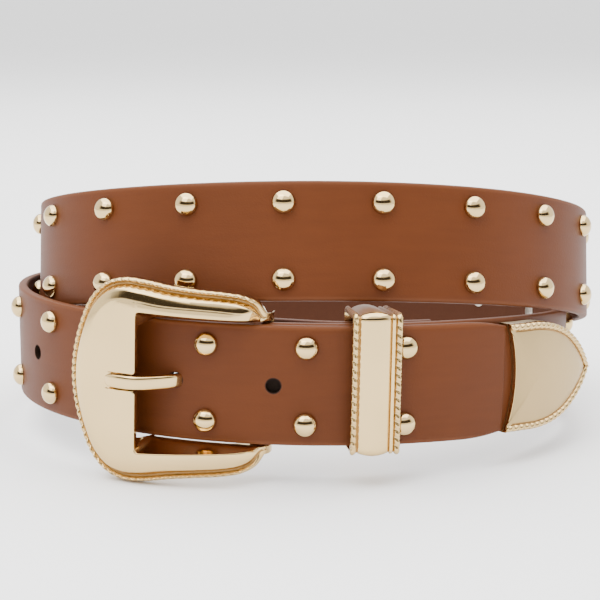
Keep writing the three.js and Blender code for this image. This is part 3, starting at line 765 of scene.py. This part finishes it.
def metal(name, colour, roughness, waviness=0.0, grit=0.0, grit_scale=3000.0, brushed=0.0):
    """A gold finish, with painted shade behind the strap and a painted reflection of the leather on
    the keeper's top.
    """
    colours = bpy.context.scene.belt_colours
    material, shader = new_material(name)
    laid, along, out, up = straight_place(shader)
    slow = shader.noise(laid, scale=90, detail=1)
    fine = shader.noise(laid, grit_scale, detail=2)
    lines = shader.noise(shader.stretched(laid, (0.15, 1, 6)), scale=1500, detail=2)
    height = slow * waviness + fine * grit + lines * brushed
    tint = shader.mix(
        slow.within(0.35, 0.65), opaque([0.97 * part for part in colour]), opaque(colour))
    between = along.within(*SHADE_START) * (1 - along.within(*SHADE_END))
    behind = (1 - out.within(*SHADE_OUT)) * (1 - abs(up).within(*SHADE_UP))
    tint = shader.mix(behind * between, tint, opaque(colours.shaded_metal))
    # Painted reflection of the leather: the keeper's top is tinted brown, less metallic and
    # rougher.
    keeper_top_reflection = along.within(*TOP_ALONG) * up.within(*TOP_UP) * (1 - out.within(*TOP_OUT))
    tint = shader.mix(keeper_top_reflection * 0.9, tint, opaque(colours.keeper_top_reflection))
    surface(shader, {
        "Base Color": tint,
        "Metallic": 1 - 0.7 * keeper_top_reflection,
        "Roughness": roughness * (0.9 + 0.2 * fine) + 0.35 * keeper_top_reflection,
        "Normal": shader.bump(height, strength=0.5, distance=0.0003),
    })
    return material


def plain(name, colour, roughness, specular=0.5):
    material, shader = new_material(name)
    place = shader.node("ShaderNodeTexCoord", {}, {}, 3)
    tone = shader.noise(place, scale=2, detail=2)
    darker = [0.985 * part for part in colour]
    surface(shader, {
        "Base Color": shader.mix(tone, opaque(darker), opaque(colour)),
        "Roughness": roughness,
        "Specular IOR Level": specular,
    })
    return material


def finishes():
    """The belt's materials, made on first use."""
    colours = bpy.context.scene.belt_colours
    if "smooth_leather" not in bpy.data.materials:
        leather(colours)
        metal("polished_gold", colours.gold, 0.1, waviness=0.25)
        metal("rope_gold", colours.rope, 0.2, grit=0.2)
        metal("groove_gold", colours.groove, 0.42, grit=1.6, grit_scale=2600.0)
        metal("brushed_gold", colours.satin, 0.36, grit=0.12, brushed=0.25)
        metal("rivet_back", colours.rivet, 0.45, grit=0.2)
        # The knuckle, dark as painted shade where it shows through the hole.
        metal("dark_bar", colours.hole, 0.6)
        # The holes' walls, dark as painted shade.
        plain("hole_wall", colours.hole, 0.9, specular=0.0)
    return bpy.data.materials


def gold_set(face):
    store = finishes()
    return [store[face], store["rope_gold"], store["groove_gold"]]


def colour_property(name, description, default):
    return bpy.props.FloatVectorProperty(
        name=name, description=description, default=default, subtype="COLOR", size=3,
        min=0.0, max=1.0)


def length_property(name, description, default):
    return bpy.props.FloatProperty(
        name=name, description=description, default=default, unit="LENGTH")


class BeltColours(bpy.types.PropertyGroup):
    """Colours of the belt and the stage"""

    leather: colour_property("Leather", "Face of the strap", (0.098, 0.0235, 0.0030))
    leather_dark: colour_property(
        "Leather shade", "Darker tone of the face", (0.088, 0.0208, 0.0025))
    leather_edge: colour_property("Edge", "Rounded edge of the strap", (0.120, 0.034, 0.008))
    lining: colour_property("Lining", "Inner side of the strap", (0.064, 0.0185, 0.0058))
    lining_dark: colour_property(
        "Lining shade", "Darker tone of the inner side", (0.052, 0.0145, 0.0045))
    # Painted shade: the dark of the holes, their walls and rims, and of the prong's knuckle.
    hole: colour_property("Hole", "Walls of the prong holes", (0.02, 0.012, 0.008))
    gold: colour_property("Gold", "Polished buckle, prong, keeper and studs", (0.66, 0.47, 0.22))
    rope: colour_property("Rope", "Rope edges", (0.62, 0.43, 0.19))
    groove: colour_property("Groove", "Groove inside the rope", (0.40, 0.235, 0.085))
    satin: colour_property("Satin", "Face of the tip", (0.43, 0.305, 0.145))
    shaded_metal: colour_property("Shaded metal", "Metal behind the strap", (0.02, 0.015, 0.01))
    # Painted reflection of the leather on the keeper's top.
    keeper_top_reflection: colour_property(
        "Keeper top", "Top of the keeper, under the leather", (0.16, 0.06, 0.028))
    rivet: colour_property("Rivet backs", "Backs of the studs", (0.6, 0.55, 0.48))
    floor: colour_property("Floor", "Floor of the stage", (0.95, 0.95, 0.95))


class BeltSizes(bpy.types.PropertyGroup):
    """Sizes of the belt's details"""

    stud_diameter: length_property("Stud diameter", "Width of a stud's dome", 0.007)
    stud_height: length_property("Stud height", "Height of a stud over the strap", 0.0029)
    edge_round: length_property("Edge rounding", "Width of the strap's rounded edge", 0.0008)
    hole_diameter: length_property("Hole diameter", "Width of a prong hole", 0.0043)
    rope_pitch: length_property("Rope pitch", "Step from strand to strand of a rope edge", 0.0023)
    rope_relief: length_property("Rope relief", "Height of a strand over its grooves", 0.0005)


# Pieces

class BELT_OT_strap(bpy.types.Operator):
    """Adds the leather strap with its prong holes and tongue"""

    bl_idname = "belt.strap"
    bl_label = "Strap"

    def execute(self, context):
        sizes = context.scene.belt_sizes
        thickness = STRAP_THICKNESS * MM
        start, end = ROUTE.start * MM, END_FROM_BAR * MM
        deselect()
        bpy.ops.mesh.primitive_grid_add(
            x_subdivisions=STRAP_STEPS_ALONG, y_subdivisions=STRAP_STEPS_UP, size=1,
            location=((start + end) / 2, -thickness / 2, 0), rotation=(math.pi / 2, 0, 0))
        strap = context.object
        strap.name = "leather_strap"
        strap.scale = (end - start, STRAP_WIDTH * MM, 1)
        settle()
        edit_all()
        bpy.ops.mesh.extrude_region_move(TRANSFORM_OT_translate={"value": (0, thickness, 0)})
        bpy.ops.mesh.select_all(action="SELECT")
        bpy.ops.mesh.normals_make_consistent(inside=False)
        self.select_rim(strap, start, end)
        bpy.ops.mesh.bevel(offset=sizes.edge_round, segments=3, affect="EDGES")
        self.select_end(strap, end)
        bpy.ops.mesh.extrude_region_move(
            TRANSFORM_OT_translate={"value": (TONGUE_LENGTH * MM, 0, 0)})
        bpy.ops.object.mode_set(mode="OBJECT")
        self.taper(strap, end)
        self.cut(strap, self.hole_cutter(sizes.hole_diameter))
        self.cut(strap, self.slot_cutter())
        self.line_holes(strap, sizes.hole_diameter)
        shade(strap, 40)
        store = finishes()
        hand_over(strap, ["strap"], [store["smooth_leather"], store["hole_wall"]])
        return {"FINISHED"}

    def select_rim(self, strap, start, end):
        """The edges that bound the strap's two faces."""
        bpy.ops.mesh.select_mode(type="EDGE")
        bpy.ops.mesh.select_all(action="DESELECT")
        mesh = bmesh.from_edit_mesh(strap.data)
        half, thin = STRAP_WIDTH * MM / 2, STRAP_THICKNESS * MM / 2

        def outer(vert):
            side = abs(abs(vert.co.z) - half) < NEAR
            tail = min(abs(vert.co.x - start), abs(vert.co.x - end)) < NEAR
            return side, tail

        for edge in mesh.edges:
            (side_a, tail_a), (side_b, tail_b) = map(outer, edge.verts)
            level = abs(edge.verts[0].co.y - edge.verts[1].co.y) < thin
            edge.select = bool(level and ((side_a and side_b) or (tail_a and tail_b)))
        bmesh.update_edit_mesh(strap.data)

    def select_end(self, strap, end):
        """The flat end face at the tip."""
        bpy.ops.mesh.select_mode(type="FACE")
        bpy.ops.mesh.select_all(action="DESELECT")
        mesh = bmesh.from_edit_mesh(strap.data)
        for face in mesh.faces:
            face.select = all(abs(vert.co.x - end) < NEAR for vert in face.verts)
        mesh.select_flush_mode()
        bmesh.update_edit_mesh(strap.data)

    def taper(self, strap, end):
        points = read_points(strap)
        share = np.clip((points[:, 0] - end + END_TAPER * MM) / (END_TAPER * MM), 0, 1)
        points[:, 2] *= 1 - share ** 2 * (1 - END_HEIGHT / STRAP_WIDTH)
        write_points(strap, points)

    def hole_cutter(self, diameter):
        """One pin, copied to each hole; only the prong's hole is cut right through."""
        deselect()
        bpy.ops.mesh.primitive_cylinder_add(
            vertices=40, radius=diameter / 2, depth=CUTTER_LENGTH * MM,
            rotation=(math.pi / 2, 0, 0))
        settle()
        pin = bpy.context.object
        pins = [pin] + [copy_of(pin, "pin") for _ in HOLE_PITCHES[1:]]
        for twin, pitches in zip(pins, HOLE_PITCHES):
            # The blind holes keep a floor, which the leather's painted shade darkens.
            back = (HOLE_FLOOR - CUTTER_LENGTH / 2) * MM if pitches else 0
            shift_by(twin, ((pitches * STUD_PITCH - USED_HOLE_FROM_BAR) * MM, back, 0))
        return join(pins)

    def line_holes(self, strap, diameter):
        """The holes' walls take the second material, which is dark as painted shade."""
        strap.data.materials.append(None)
        strap.data.materials.append(None)
        for face in strap.data.polygons:
            past_hole = (face.center.x / MM + USED_HOLE_FROM_BAR) / STUD_PITCH
            beside = (past_hole - round(past_hole)) * STUD_PITCH * MM
            across = abs(face.normal.y) < WALL_SLOPE
            if across and math.hypot(beside, face.center.z) < WALL_REACH * diameter:
                face.material_index = 1

    def slot_cutter(self):
        """The slot that the prong's knuckle turns in, through the fold."""
        middle = (ROUTE.fold - ROUTE.bar - math.pi * FOLD_RADIUS / 2) * MM
        deselect()
        bpy.ops.mesh.primitive_cube_add(size=1, location=(middle, 0, 0))
        slot = bpy.context.object
        slot.scale = (SLOT_LENGTH * MM, CUTTER_LENGTH * MM, SLOT_WIDTH * MM)
        settle()
        edit_all()
        bpy.ops.mesh.bevel(offset=SLOT_ROUND * MM, segments=6, affect="EDGES")
        bpy.ops.object.mode_set(mode="OBJECT")
        return slot

    def cut(self, body, cutter):
        deselect()
        body.select_set(True)
        bpy.context.view_layer.objects.active = body
        modify(body, "BOOLEAN", operation="DIFFERENCE", solver="EXACT", object=cutter)
        bpy.data.objects.remove(cutter)


def rounded(corners):
    """An outline's points from its corners, each with the length that its arc takes."""
    places = [np.array(corner[:2]) for corner in corners]
    arcs = []
    for i, (place, corner) in enumerate(zip(places, corners)):
        sides = [places[i - 1] - place, places[(i + 1) % len(places)] - place]
        start, end = (place + side / np.linalg.norm(side) * corner[2] for side in sides)
        for share in np.linspace(0, 1, 9):
            arcs.append(
                (1 - share) ** 2 * start + 2 * share * (1 - share) * place + share ** 2 * end)
    return np.array(arcs)


def window_outline(half, half_at_heel):
    """The frame's window, with the notch that the prong lies in."""
    notch_end = WINDOW_END + NOTCH_DEPTH
    upper = [
        (notch_end, NOTCH_HALF, SHARP_CORNER),
        (WINDOW_END, NOTCH_HALF, NOTCH_CORNER),
        (WINDOW_END, half, WINDOW_CORNER),
        (BAR_RADIUS, half_at_heel, SHARP_CORNER),
    ]
    return rounded(upper + [(start, -up, radius) for start, up, radius in reversed(upper)])


def hits(outline, centre, rays):
    """Where rays from the centre meet an outline round it."""
    a = outline - centre
    b = np.roll(a, -1, axis=0) - a
    with np.errstate(divide="ignore", invalid="ignore"):
        cross = np.outer(rays[:, 0], b[:, 1]) - np.outer(rays[:, 1], b[:, 0])
        far = (a[:, 0] * b[:, 1] - a[:, 1] * b[:, 0]) / cross
        share = (np.outer(rays[:, 1], a[:, 0]) - np.outer(rays[:, 0], a[:, 1])) / cross
    met = (share > -NEAR) & (share < 1 + NEAR) & (far > 0)
    return centre + rays * np.min(np.where(met, far, np.inf), axis=1)[:, None]


def frame_loop():
    """Evenly spaced points of the frame's outer edge, their lengths, and the window's two edges."""
    upper = [(row.along * FRAME_LENGTH, row.up * FRAME_HEIGHT / 2) for row in FRAME_OUTLINE]
    lower = [(along, -up) for along, up in reversed(upper[:-1])]
    edge = curve_through(upper + lower, per_span=24)
    edge[:, 0] = np.maximum(edge[:, 0], -BAR_RADIUS)
    edge[0, 0] = edge[-1, 0] = -BAR_RADIUS
    bar_up = np.linspace(edge[-1, 1], edge[0, 1], HEEL_POINTS + 2)[1:-1]
    heel = np.stack([np.full(HEEL_POINTS, -BAR_RADIUS), bar_up], 1)
    lower_heel, upper_heel = np.split(heel, 2)
    loop, lengths = evenly(np.vstack([upper_heel, edge, lower_heel]), FRAME_POINTS, closed=True)
    centre = np.array([WINDOW_END / 2, 0])
    window = hits(window_outline(WINDOW_HALF, WINDOW_HALF), centre, loop - centre)
    brim = hits(window_outline(BRIM_HALF, BRIM_HALF_AT_HEEL), centre, loop - centre)
    return loop, lengths, window, brim


def inward_normals(loop):
    tangent = np.roll(loop, -2, axis=0) - np.roll(loop, 2, axis=0)
    normal = np.stack([tangent[:, 1], -tangent[:, 0]], 1)
    return normal / np.linalg.norm(normal, axis=1, keepdims=True)


def frame_back(points):
    """How far out the frame's back lies: low at the heel bar, and rising along the arms."""
    arm = step_up(np.abs(points[:, 1]), STRAP_WIDTH / 2, STRAP_WIDTH / 2 + 1)
    first = BAR_RADIUS * (2 - 3 * arm)
    share = np.clip((points[:, 0] - first) / (WINDOW_END - first), 0, 1)
    return BAR_OUT - BAR_RADIUS + (END_BAR_BACK - BAR_OUT + BAR_RADIUS) * share ** ARM_RISE


class BELT_OT_buckle_frame(bpy.types.Operator):
    """Adds the buckle's frame with its rope edge, groove and domed face"""

    bl_idname = "belt.buckle_frame"
    bl_label = "Buckle Frame"

    def execute(self, context):
        sizes = context.scene.belt_sizes
        loop, lengths, window, brim = frame_loop()
        total = lengths[-1] + lengths[1]
        room = np.linalg.norm(brim - loop, axis=1)
        across = (brim - loop) / room[:, None]
        roped = step_up(loop[:, 0], *SECTION_ALONG)
        stranded = roped * step_up(loop[:, 0], *STRANDS_ALONG)
        normal = inward_normals(loop)
        normal *= np.where(dot(normal, across) < 0, -1, 1)
        inward = unit(across + (normal - across) * step_up(room, *SQUARE_BY_WIDTH)[:, None])
        edging = np.minimum(room / EDGING_WIDTH, 1)
        bevel = step_up(room, *BEVEL_BY_WIDTH)
        full = step_up(room, *FACE_BY_WIDTH)
        hollow = self.hollow(window)
        skirt = np.maximum(frame_back(window) - SKIRT_OUT, 0) * (1 - hollow) * roped

        def ring(points, heights):
            out = frame_back(points) + heights
            return np.stack([-points[:, 0], -out, points[:, 1]], 1) * MM

        def risen(height):
            """A height of the face, low where the arms run out and round on the heel bar."""
            low = np.minimum(height, GROOVE_HEIGHT)
            height = low + (height - low) * full
            return height * roped + (1 - roped) * 2 * BAR_RADIUS

        def spread_of(band):
            rope_part = min(band.inward, GROOVE_INNER) * edging
            return rope_part + max(band.inward - GROOVE_INNER, 0) * bevel

        section = Section()
        for band in FRAME_BANDS:
            rope = rope_height(sizes, lengths, total, band.inward)
            height = risen(band.height) + band.strand * stranded * rope
            height = np.where(roped > 0, height, min(band.height, 2 * BAR_RADIUS))
            section.add(ring(loop + inward * spread_of(band)[:, None], height), band.finish)
        shoulder = loop + inward * spread_of(FRAME_BANDS[-1])[:, None]
        for share, height in curve_through(FRAME_CROWN, per_span=3):
            points = shoulder + (brim - shoulder) * share
            section.add(ring(points, self.recess(points, risen(height))))
        for wall in FRAME_WALL:
            points = brim + (window - brim) * wall.share
            level = self.recess(points, np.minimum(risen(wall.height), risen(FACE_RIM)))
            level = level - skirt * (1 - wall.height / FACE_RIM)
            level += hollow * (np.maximum(level, HOLLOW_HEIGHT) - level)
            section.add(ring(points, level))
        for inside in FRAME_INSIDE:
            points = window + (loop - window) * inside.share
            level = hollow * inside.height - skirt * max(0, 1 - inside.share / SKIRT_REACH)
            section.add(ring(points, level))
        section.add(section.rings[0])
        body = loft("buckle_frame_body", section)
        shade(body, 50)
        hand_over(body, ["buckle_frame"], gold_set("polished_gold"))
        return {"FINISHED"}

    def hollow(self, window):
        """1 under the end bar, where the strap and its studs pass, and 0 at the arms."""
        on_bar = step_up(window[:, 0], *HOLLOW_ALONG)
        inside = step_up(WINDOW_HALF - np.abs(window[:, 1]), *HOLLOW_ACROSS)
        return on_bar * inside

    def recess(self, points, height):
        """The seat of the prong on the end bar."""
        beside = 1 - step_up(np.abs(points[:, 1]), *SEAT_ACROSS)
        along = step_up(points[:, 0], *SEAT_START) * (1 - step_up(points[:, 0], *SEAT_END))
        return height + beside * along * (np.minimum(height, NOTCH_FLOOR) - height)


class BELT_OT_prong(bpy.types.Operator):
    """Adds the prong and its knuckle round the heel bar"""

    bl_idname = "belt.prong"
    bl_label = "Prong"

    def execute(self, context):
        route = curve_through(PRONG_ROUTE, per_span=6)
        slope = np.gradient(route[:, :2], axis=0)
        slope /= np.linalg.norm(slope, axis=1, keepdims=True)
        angles = np.arange(PRONG_SIDES) * 2 * math.pi / PRONG_SIDES
        across, through = self.rounded(np.sin(angles)), self.rounded(np.cos(angles))
        section = Section()
        for (start, out, half_width, half_thick), (run, rise) in zip(route, slope):
            up, depth = half_width * across, half_thick * through
            section.add(np.stack([-(start - depth * rise), -(out + depth * run), up], 1) * MM)
        prong = loft("prong_body", section, caps=True)
        shade(prong, 50)
        prong = join([prong, self.knuckle()])
        store = finishes()
        hand_over(prong, ["prong"], [store["polished_gold"], store["dark_bar"]])
        return {"FINISHED"}

    def rounded(self, wave):
        """A circle's wave, flattened to that of a box with rounded corners."""
        return np.sign(wave) * np.abs(wave) ** PRONG_ROUNDNESS

    def knuckle(self):
        deselect()
        bpy.ops.mesh.primitive_cylinder_add(
            vertices=32, radius=KNUCKLE_RADIUS * MM, depth=KNUCKLE_WIDTH * MM,
            end_fill_type="NOTHING", location=(0, -BAR_OUT * MM, 0))
        ring = bpy.context.object
        settle()
        edit_all()
        close_mesh()
        modify(ring, "SOLIDIFY", thickness=KNUCKLE_WALL * MM, offset=-1)
        modify(ring, "BEVEL", width=KNUCKLE_ROUND * MM, segments=2)
        # The knuckle takes the second material, a painted shade.
        for face in ring.data.polygons:
            face.material_index = 1
        return shade(ring, 40)


class BELT_OT_keeper(bpy.types.Operator):
    """Adds the keeper loop with its rope strips and bead"""

    bl_idname = "belt.keeper"
    bl_label = "Keeper"

    def execute(self, context):
        sizes = context.scene.belt_sizes
        loop, lengths, normal = self.loop()
        total = lengths[-1] + lengths[1]
        front = step_up(normal.max(axis=1), *KEEPER_TURN)
        front = KEEPER_BACK_SHARE + (1 - KEEPER_BACK_SHARE) * front

        def ring(along, wall):
            points = loop + normal * np.broadcast_to(wall, len(loop))[:, None]
            x = np.full(len(loop), KEEPER_FROM_BAR + along)
            return np.stack([x, -points[:, 0], points[:, 1] + KEEPER_LIFT], 1) * MM

        section = Section()
        for along in KEEPER_INSIDE:
            section.add(ring(along, 0))
        for strip in KEEPER_STRIPS:
            rope = rope_height(sizes, lengths, total, strip.along)
            section.add(ring(strip.along, strip.height * front + strip.strand * rope), strip.finish)
        section.add(section.rings[0])
        keeper = loft("keeper_body", section)
        shade(keeper, 50)
        hand_over(keeper, ["keeper"], gold_set("polished_gold"))
        return {"FINISHED"}

    def loop(self):
        """Out and up of the inner wall's rounded box, with its outward normals."""
        middle = (KEEPER_FRONT - KEEPER_BACK) / 2
        deep = (KEEPER_FRONT + KEEPER_BACK) / 2 - KEEPER_CORNER
        tall = KEEPER_HALF - KEEPER_CORNER
        corners = ((1, 1, 0), (-1, 1, 90), (-1, -1, 180), (1, -1, 270))
        points = []
        for side, high, first in corners:
            for degrees in np.linspace(first, first + 90, KEEPER_CORNER_POINTS):
                angle = math.radians(degrees)
                points.append((
                    middle + side * deep + KEEPER_CORNER * math.cos(angle),
                    high * tall + KEEPER_CORNER * math.sin(angle)))
        even, lengths = evenly(np.array(points), KEEPER_POINTS, closed=True)
        return even, lengths, inward_normals(even)


class BELT_OT_tip(bpy.types.Operator):
    """Adds the pointed metal tip with its rope border"""

    bl_idname = "belt.tip"
    bl_label = "Tip"

    def execute(self, context):
        sizes = context.scene.belt_sizes
        corners = [(row.along * TIP_LENGTH, row.up * TIP_HALF) for row in TIP_OUTLINE]
        upper = curve_through(corners, per_span=30)
        both = np.vstack([upper, upper[-2::-1] * (1, -1)])
        outer, lengths = evenly(both, TIP_POINTS, closed=False)
        mouth_up = np.linspace(-TIP_HALF, TIP_HALF, MOUTH_POINTS + 2)[1:-1]
        mouth = np.stack([TIP_SAG * (1 - (mouth_up / TIP_HALF) ** 2), mouth_up], 1)
        loop = np.vstack([outer, mouth])
        lengths = np.concatenate([lengths, np.zeros(len(mouth))])
        total = lengths.max()
        normal = inward_normals(loop)
        normal *= np.where(dot(normal, np.array([[TIP_MIDDLE, 0]]) - loop) < 0, -1, 1)
        bordered = step_up(loop[:, 0], *BORDER_ALONG)
        bordered[len(outer):] = 0
        along = np.clip(loop[:, 0], TIP_SAG + TIP_SPINE_INSET, TIP_LENGTH - TIP_SPINE_INSET)
        spine = np.stack([along, 0 * along], 1)

        def ring(points, out):
            x = points[:, 0] + END_FROM_BAR + TIP_GAP
            return np.stack([x, -np.broadcast_to(out, len(points)), points[:, 1]], 1) * MM

        mitred = np.abs(loop[:, 1]) / np.maximum(np.abs(normal[:, 1]), 0.01)
        reach = np.where(loop[:, 0] > TIP_LENGTH - TIP_POINT, mitred, TIP_LENGTH)

        def spread_of(inward):
            return np.minimum(inward * (MOUTH_SPREAD + (1 - MOUTH_SPREAD) * bordered), reach)

        section = Section()
        section.add(ring(spine, TIP_BACK))
        for share in TIP_BACK_SHARES:
            section.add(ring(spine + (loop - spine) * share, TIP_BACK))
        for band in TIP_BANDS:
            rope = rope_height(sizes, lengths, total, band.inward)
            low = min(band.height, TIP_MOUTH)
            height = low + (band.height - low + band.strand * rope) * bordered
            points = loop + normal * spread_of(band.inward)[:, None]
            section.add(ring(points, height), band.finish)
        shoulder = loop + normal * spread_of(TIP_BANDS[-1].inward)[:, None]
        for share in TIP_CROWN_SHARES:
            points = shoulder + (spine - shoulder) * share
            section.add(ring(points, TIP_SHOULDER + TIP_CROWN * (1 - (1 - share) ** 2)))
        tip = loft("tip_body", section)
        self.close_spine(tip)
        shade(tip, 45)
        hand_over(tip, ["tip"], gold_set("brushed_gold"))
        return {"FINISHED"}

    def close_spine(self, tip):
        """Both faces meet on the spine, where their last ring is folded on itself."""
        edit_all()
        bpy.ops.mesh.remove_doubles(threshold=0.00002)
        close_mesh()


class BELT_OT_studs(bpy.types.Operator):
    """Adds the domed studs, modelled once and copied to each place"""

    bl_idname = "belt.studs"
    bl_label = "Studs"

    def execute(self, context):
        sizes = context.scene.belt_sizes
        dome = self.dome(sizes)
        gold = [finishes()["polished_gold"]]
        for column, row, x, up in stud_places():
            name, nodes = self.name_of(column, row)
            stud = copy_of(dome, name)
            gap = STUD_GAP if nodes else 0
            shift_by(stud, (x * MM, -(STRAP_THICKNESS / 2 + gap) * MM, up * MM))
            hand_over(stud, nodes, gold)
        bpy.data.objects.remove(dome)
        return {"FINISHED"}

    def name_of(self, column, row):
        for band, columns in (("lower", LOWER_COLUMNS), ("upper", UPPER_COLUMNS)):
            if column in columns:
                number = column - columns[0] + 1
                return f"dome_{band}_{row}_{number}", [f"stud_{band}_{row}_{number}"]
        return f"dome_hidden_{row}_{column + 1}", []

    def dome(self, sizes):
        """A sphere's upper half on a short foot."""
        radius = sizes.stud_diameter / 2
        deselect()
        bpy.ops.mesh.primitive_uv_sphere_add(
            segments=40, ring_count=20, radius=radius, rotation=(math.pi / 2, 0, 0))
        dome = bpy.context.object
        settle()
        edit_all()
        bpy.ops.mesh.bisect(
            plane_co=(0, 0, 0), plane_no=(0, 1, 0), clear_outer=True, use_fill=False)
        bpy.ops.mesh.select_all(action="SELECT")
        bpy.ops.transform.resize(
            value=(1, (sizes.stud_height - STUD_FOOT * MM) / radius, 1), center_override=(0, 0, 0))
        bpy.ops.transform.translate(value=(0, -STUD_FOOT * MM, 0))
        self.select_foot(dome)
        bpy.ops.mesh.extrude_edges_move(TRANSFORM_OT_translate={"value": (0, STUD_FOOT * MM, 0)})
        bpy.ops.mesh.edge_face_add()
        close_mesh()
        return shade(dome, 50)

    def select_foot(self, dome):
        bpy.ops.mesh.select_mode(type="EDGE")
        bpy.ops.mesh.select_all(action="DESELECT")
        mesh = bmesh.from_edit_mesh(dome.data)
        for edge in mesh.edges:
            edge.select = edge.is_boundary
        bmesh.update_edit_mesh(dome.data)


class BELT_OT_stud_backs(bpy.types.Operator):
    """Adds the rivet backs of the studs on the strap's inner side"""

    bl_idname = "belt.stud_backs"
    bl_label = "Stud Backs"

    def execute(self, context):
        deselect()
        bpy.ops.mesh.primitive_cylinder_add(
            vertices=24, radius=RIVET_RADIUS * MM, depth=RIVET_THICKNESS * MM,
            rotation=(math.pi / 2, 0, 0))
        disc = context.object
        settle()
        modify(disc, "BEVEL", width=RIVET_ROUND * MM, segments=1)
        shade(disc, 50)
        discs = []
        for _, _, x, up in stud_places():
            twin = copy_of(disc, "rivet_back")
            shift_by(twin, (x * MM, (STRAP_THICKNESS / 2 + RIVET_OUT) * MM, up * MM))
            discs.append(twin)
        backs = join(discs)
        backs.name = "rivet_backs"
        bpy.data.objects.remove(disc)
        hand_over(backs, [], [finishes()["rivet_back"]])
        return {"FINISHED"}


class BELT_OT_stage(bpy.types.Operator):
    """Adds the floor, the soft studio light and the camera"""

    bl_idname = "belt.stage"
    bl_label = "Stage"

    def execute(self, context):
        scene = context.scene
        deselect()
        bpy.ops.mesh.primitive_plane_add(size=FLOOR_SIZE, location=(0, 0, -FLOOR_DROP))
        floor = context.object
        floor.name = "floor"
        settle()
        floor.data.materials.append(plain("pale_floor", scene.belt_colours.floor, 0.9))
        for lamp in LAMPS:
            self.light(lamp)
        self.sky(scene)
        camera = bpy.data.objects.new("camera", bpy.data.cameras.new("camera"))
        camera.data.lens = CAMERA_LENS
        camera.data.sensor_width = CAMERA_SENSOR
        camera.location = np.array(CAMERA_PLACE) * MM + np.array(ROUTE_ORIGIN) * MM
        camera.rotation_euler = (math.radians(90 - CAMERA_DOWN), 0, 0)
        bpy.context.collection.objects.link(camera)
        scene.camera = camera
        return {"FINISHED"}

    def light(self, lamp):
        data = bpy.data.lights.new(lamp.name, "AREA")
        data.shape = "SQUARE"
        data.size = lamp.size
        data.energy = lamp.power
        obj = bpy.data.objects.new(lamp.name, data)
        bpy.context.collection.objects.link(obj)
        direction = np.array(LAMP_TARGET) - np.array(lamp.place)
        flat = math.hypot(direction[0], direction[1])
        obj.location = lamp.place
        obj.rotation_euler = (
            math.atan2(flat, -direction[2]), 0, math.atan2(-direction[0], direction[1]))

    def sky(self, scene):
        """White all round, with a darker band in front and above that the metal reflects."""
        world = bpy.data.worlds.new("studio")
        scene.world = world
        world.use_nodes = True
        shader = Shader(world.node_tree)
        direction = shader.node("ShaderNodeTexCoord", {}, {}, 0)
        ahead = shader.node("ShaderNodeSeparateXYZ", {}, {0: direction}, 1)
        high = shader.node("ShaderNodeSeparateXYZ", {}, {0: direction}, 2)
        above = high.within(*BAND_BOTTOM) * (1 - high.within(*BAND_TOP))
        band = above * (0 - ahead).within(*BAND_AHEAD)
        colour = shader.mix(band, opaque(SKY_PALE), opaque(SKY_DARK))
        background = shader.node(
            "ShaderNodeBackground", {}, {"Color": colour, "Strength": SKY_STRENGTH})
        shader.node("ShaderNodeOutputWorld", {}, {"Surface": background})


class BELT_PT_panel(bpy.types.Panel):
    """The belt's pieces and values in the sidebar"""

    bl_idname = "BELT_PT_panel"
    bl_label = "Studded Belt"
    bl_space_type = "VIEW_3D"
    bl_region_type = "UI"
    bl_category = "Belt"

    def draw(self, context):
        for piece in PIECES:
            self.layout.operator(piece.bl_idname)
        for group in (context.scene.belt_sizes, context.scene.belt_colours):
            for name in group.__annotations__:
                self.layout.prop(group, name)


PIECES = (
    BELT_OT_strap,
    BELT_OT_stud_backs,
    BELT_OT_buckle_frame,
    BELT_OT_prong,
    BELT_OT_keeper,
    BELT_OT_tip,
    BELT_OT_studs,
    BELT_OT_stage,
)
CLASSES = (BeltColours, BeltSizes, *PIECES, BELT_PT_panel)


def register():
    for item in CLASSES:
        bpy.utils.register_class(item)
    bpy.types.Scene.belt_colours = bpy.props.PointerProperty(type=BeltColours)
    bpy.types.Scene.belt_sizes = bpy.props.PointerProperty(type=BeltSizes)


def unregister():
    del bpy.types.Scene.belt_sizes
    del bpy.types.Scene.belt_colours
    for item in reversed(CLASSES):
        bpy.utils.unregister_class(item)


def main():
    register()
    bpy.ops.belt.strap()
    bpy.ops.belt.stud_backs()
    bpy.ops.belt.buckle_frame()
    bpy.ops.belt.prong()
    bpy.ops.belt.keeper()
    bpy.ops.belt.tip()
    bpy.ops.belt.studs()
    bpy.ops.belt.stage()


if __name__ == "__main__":
    main()
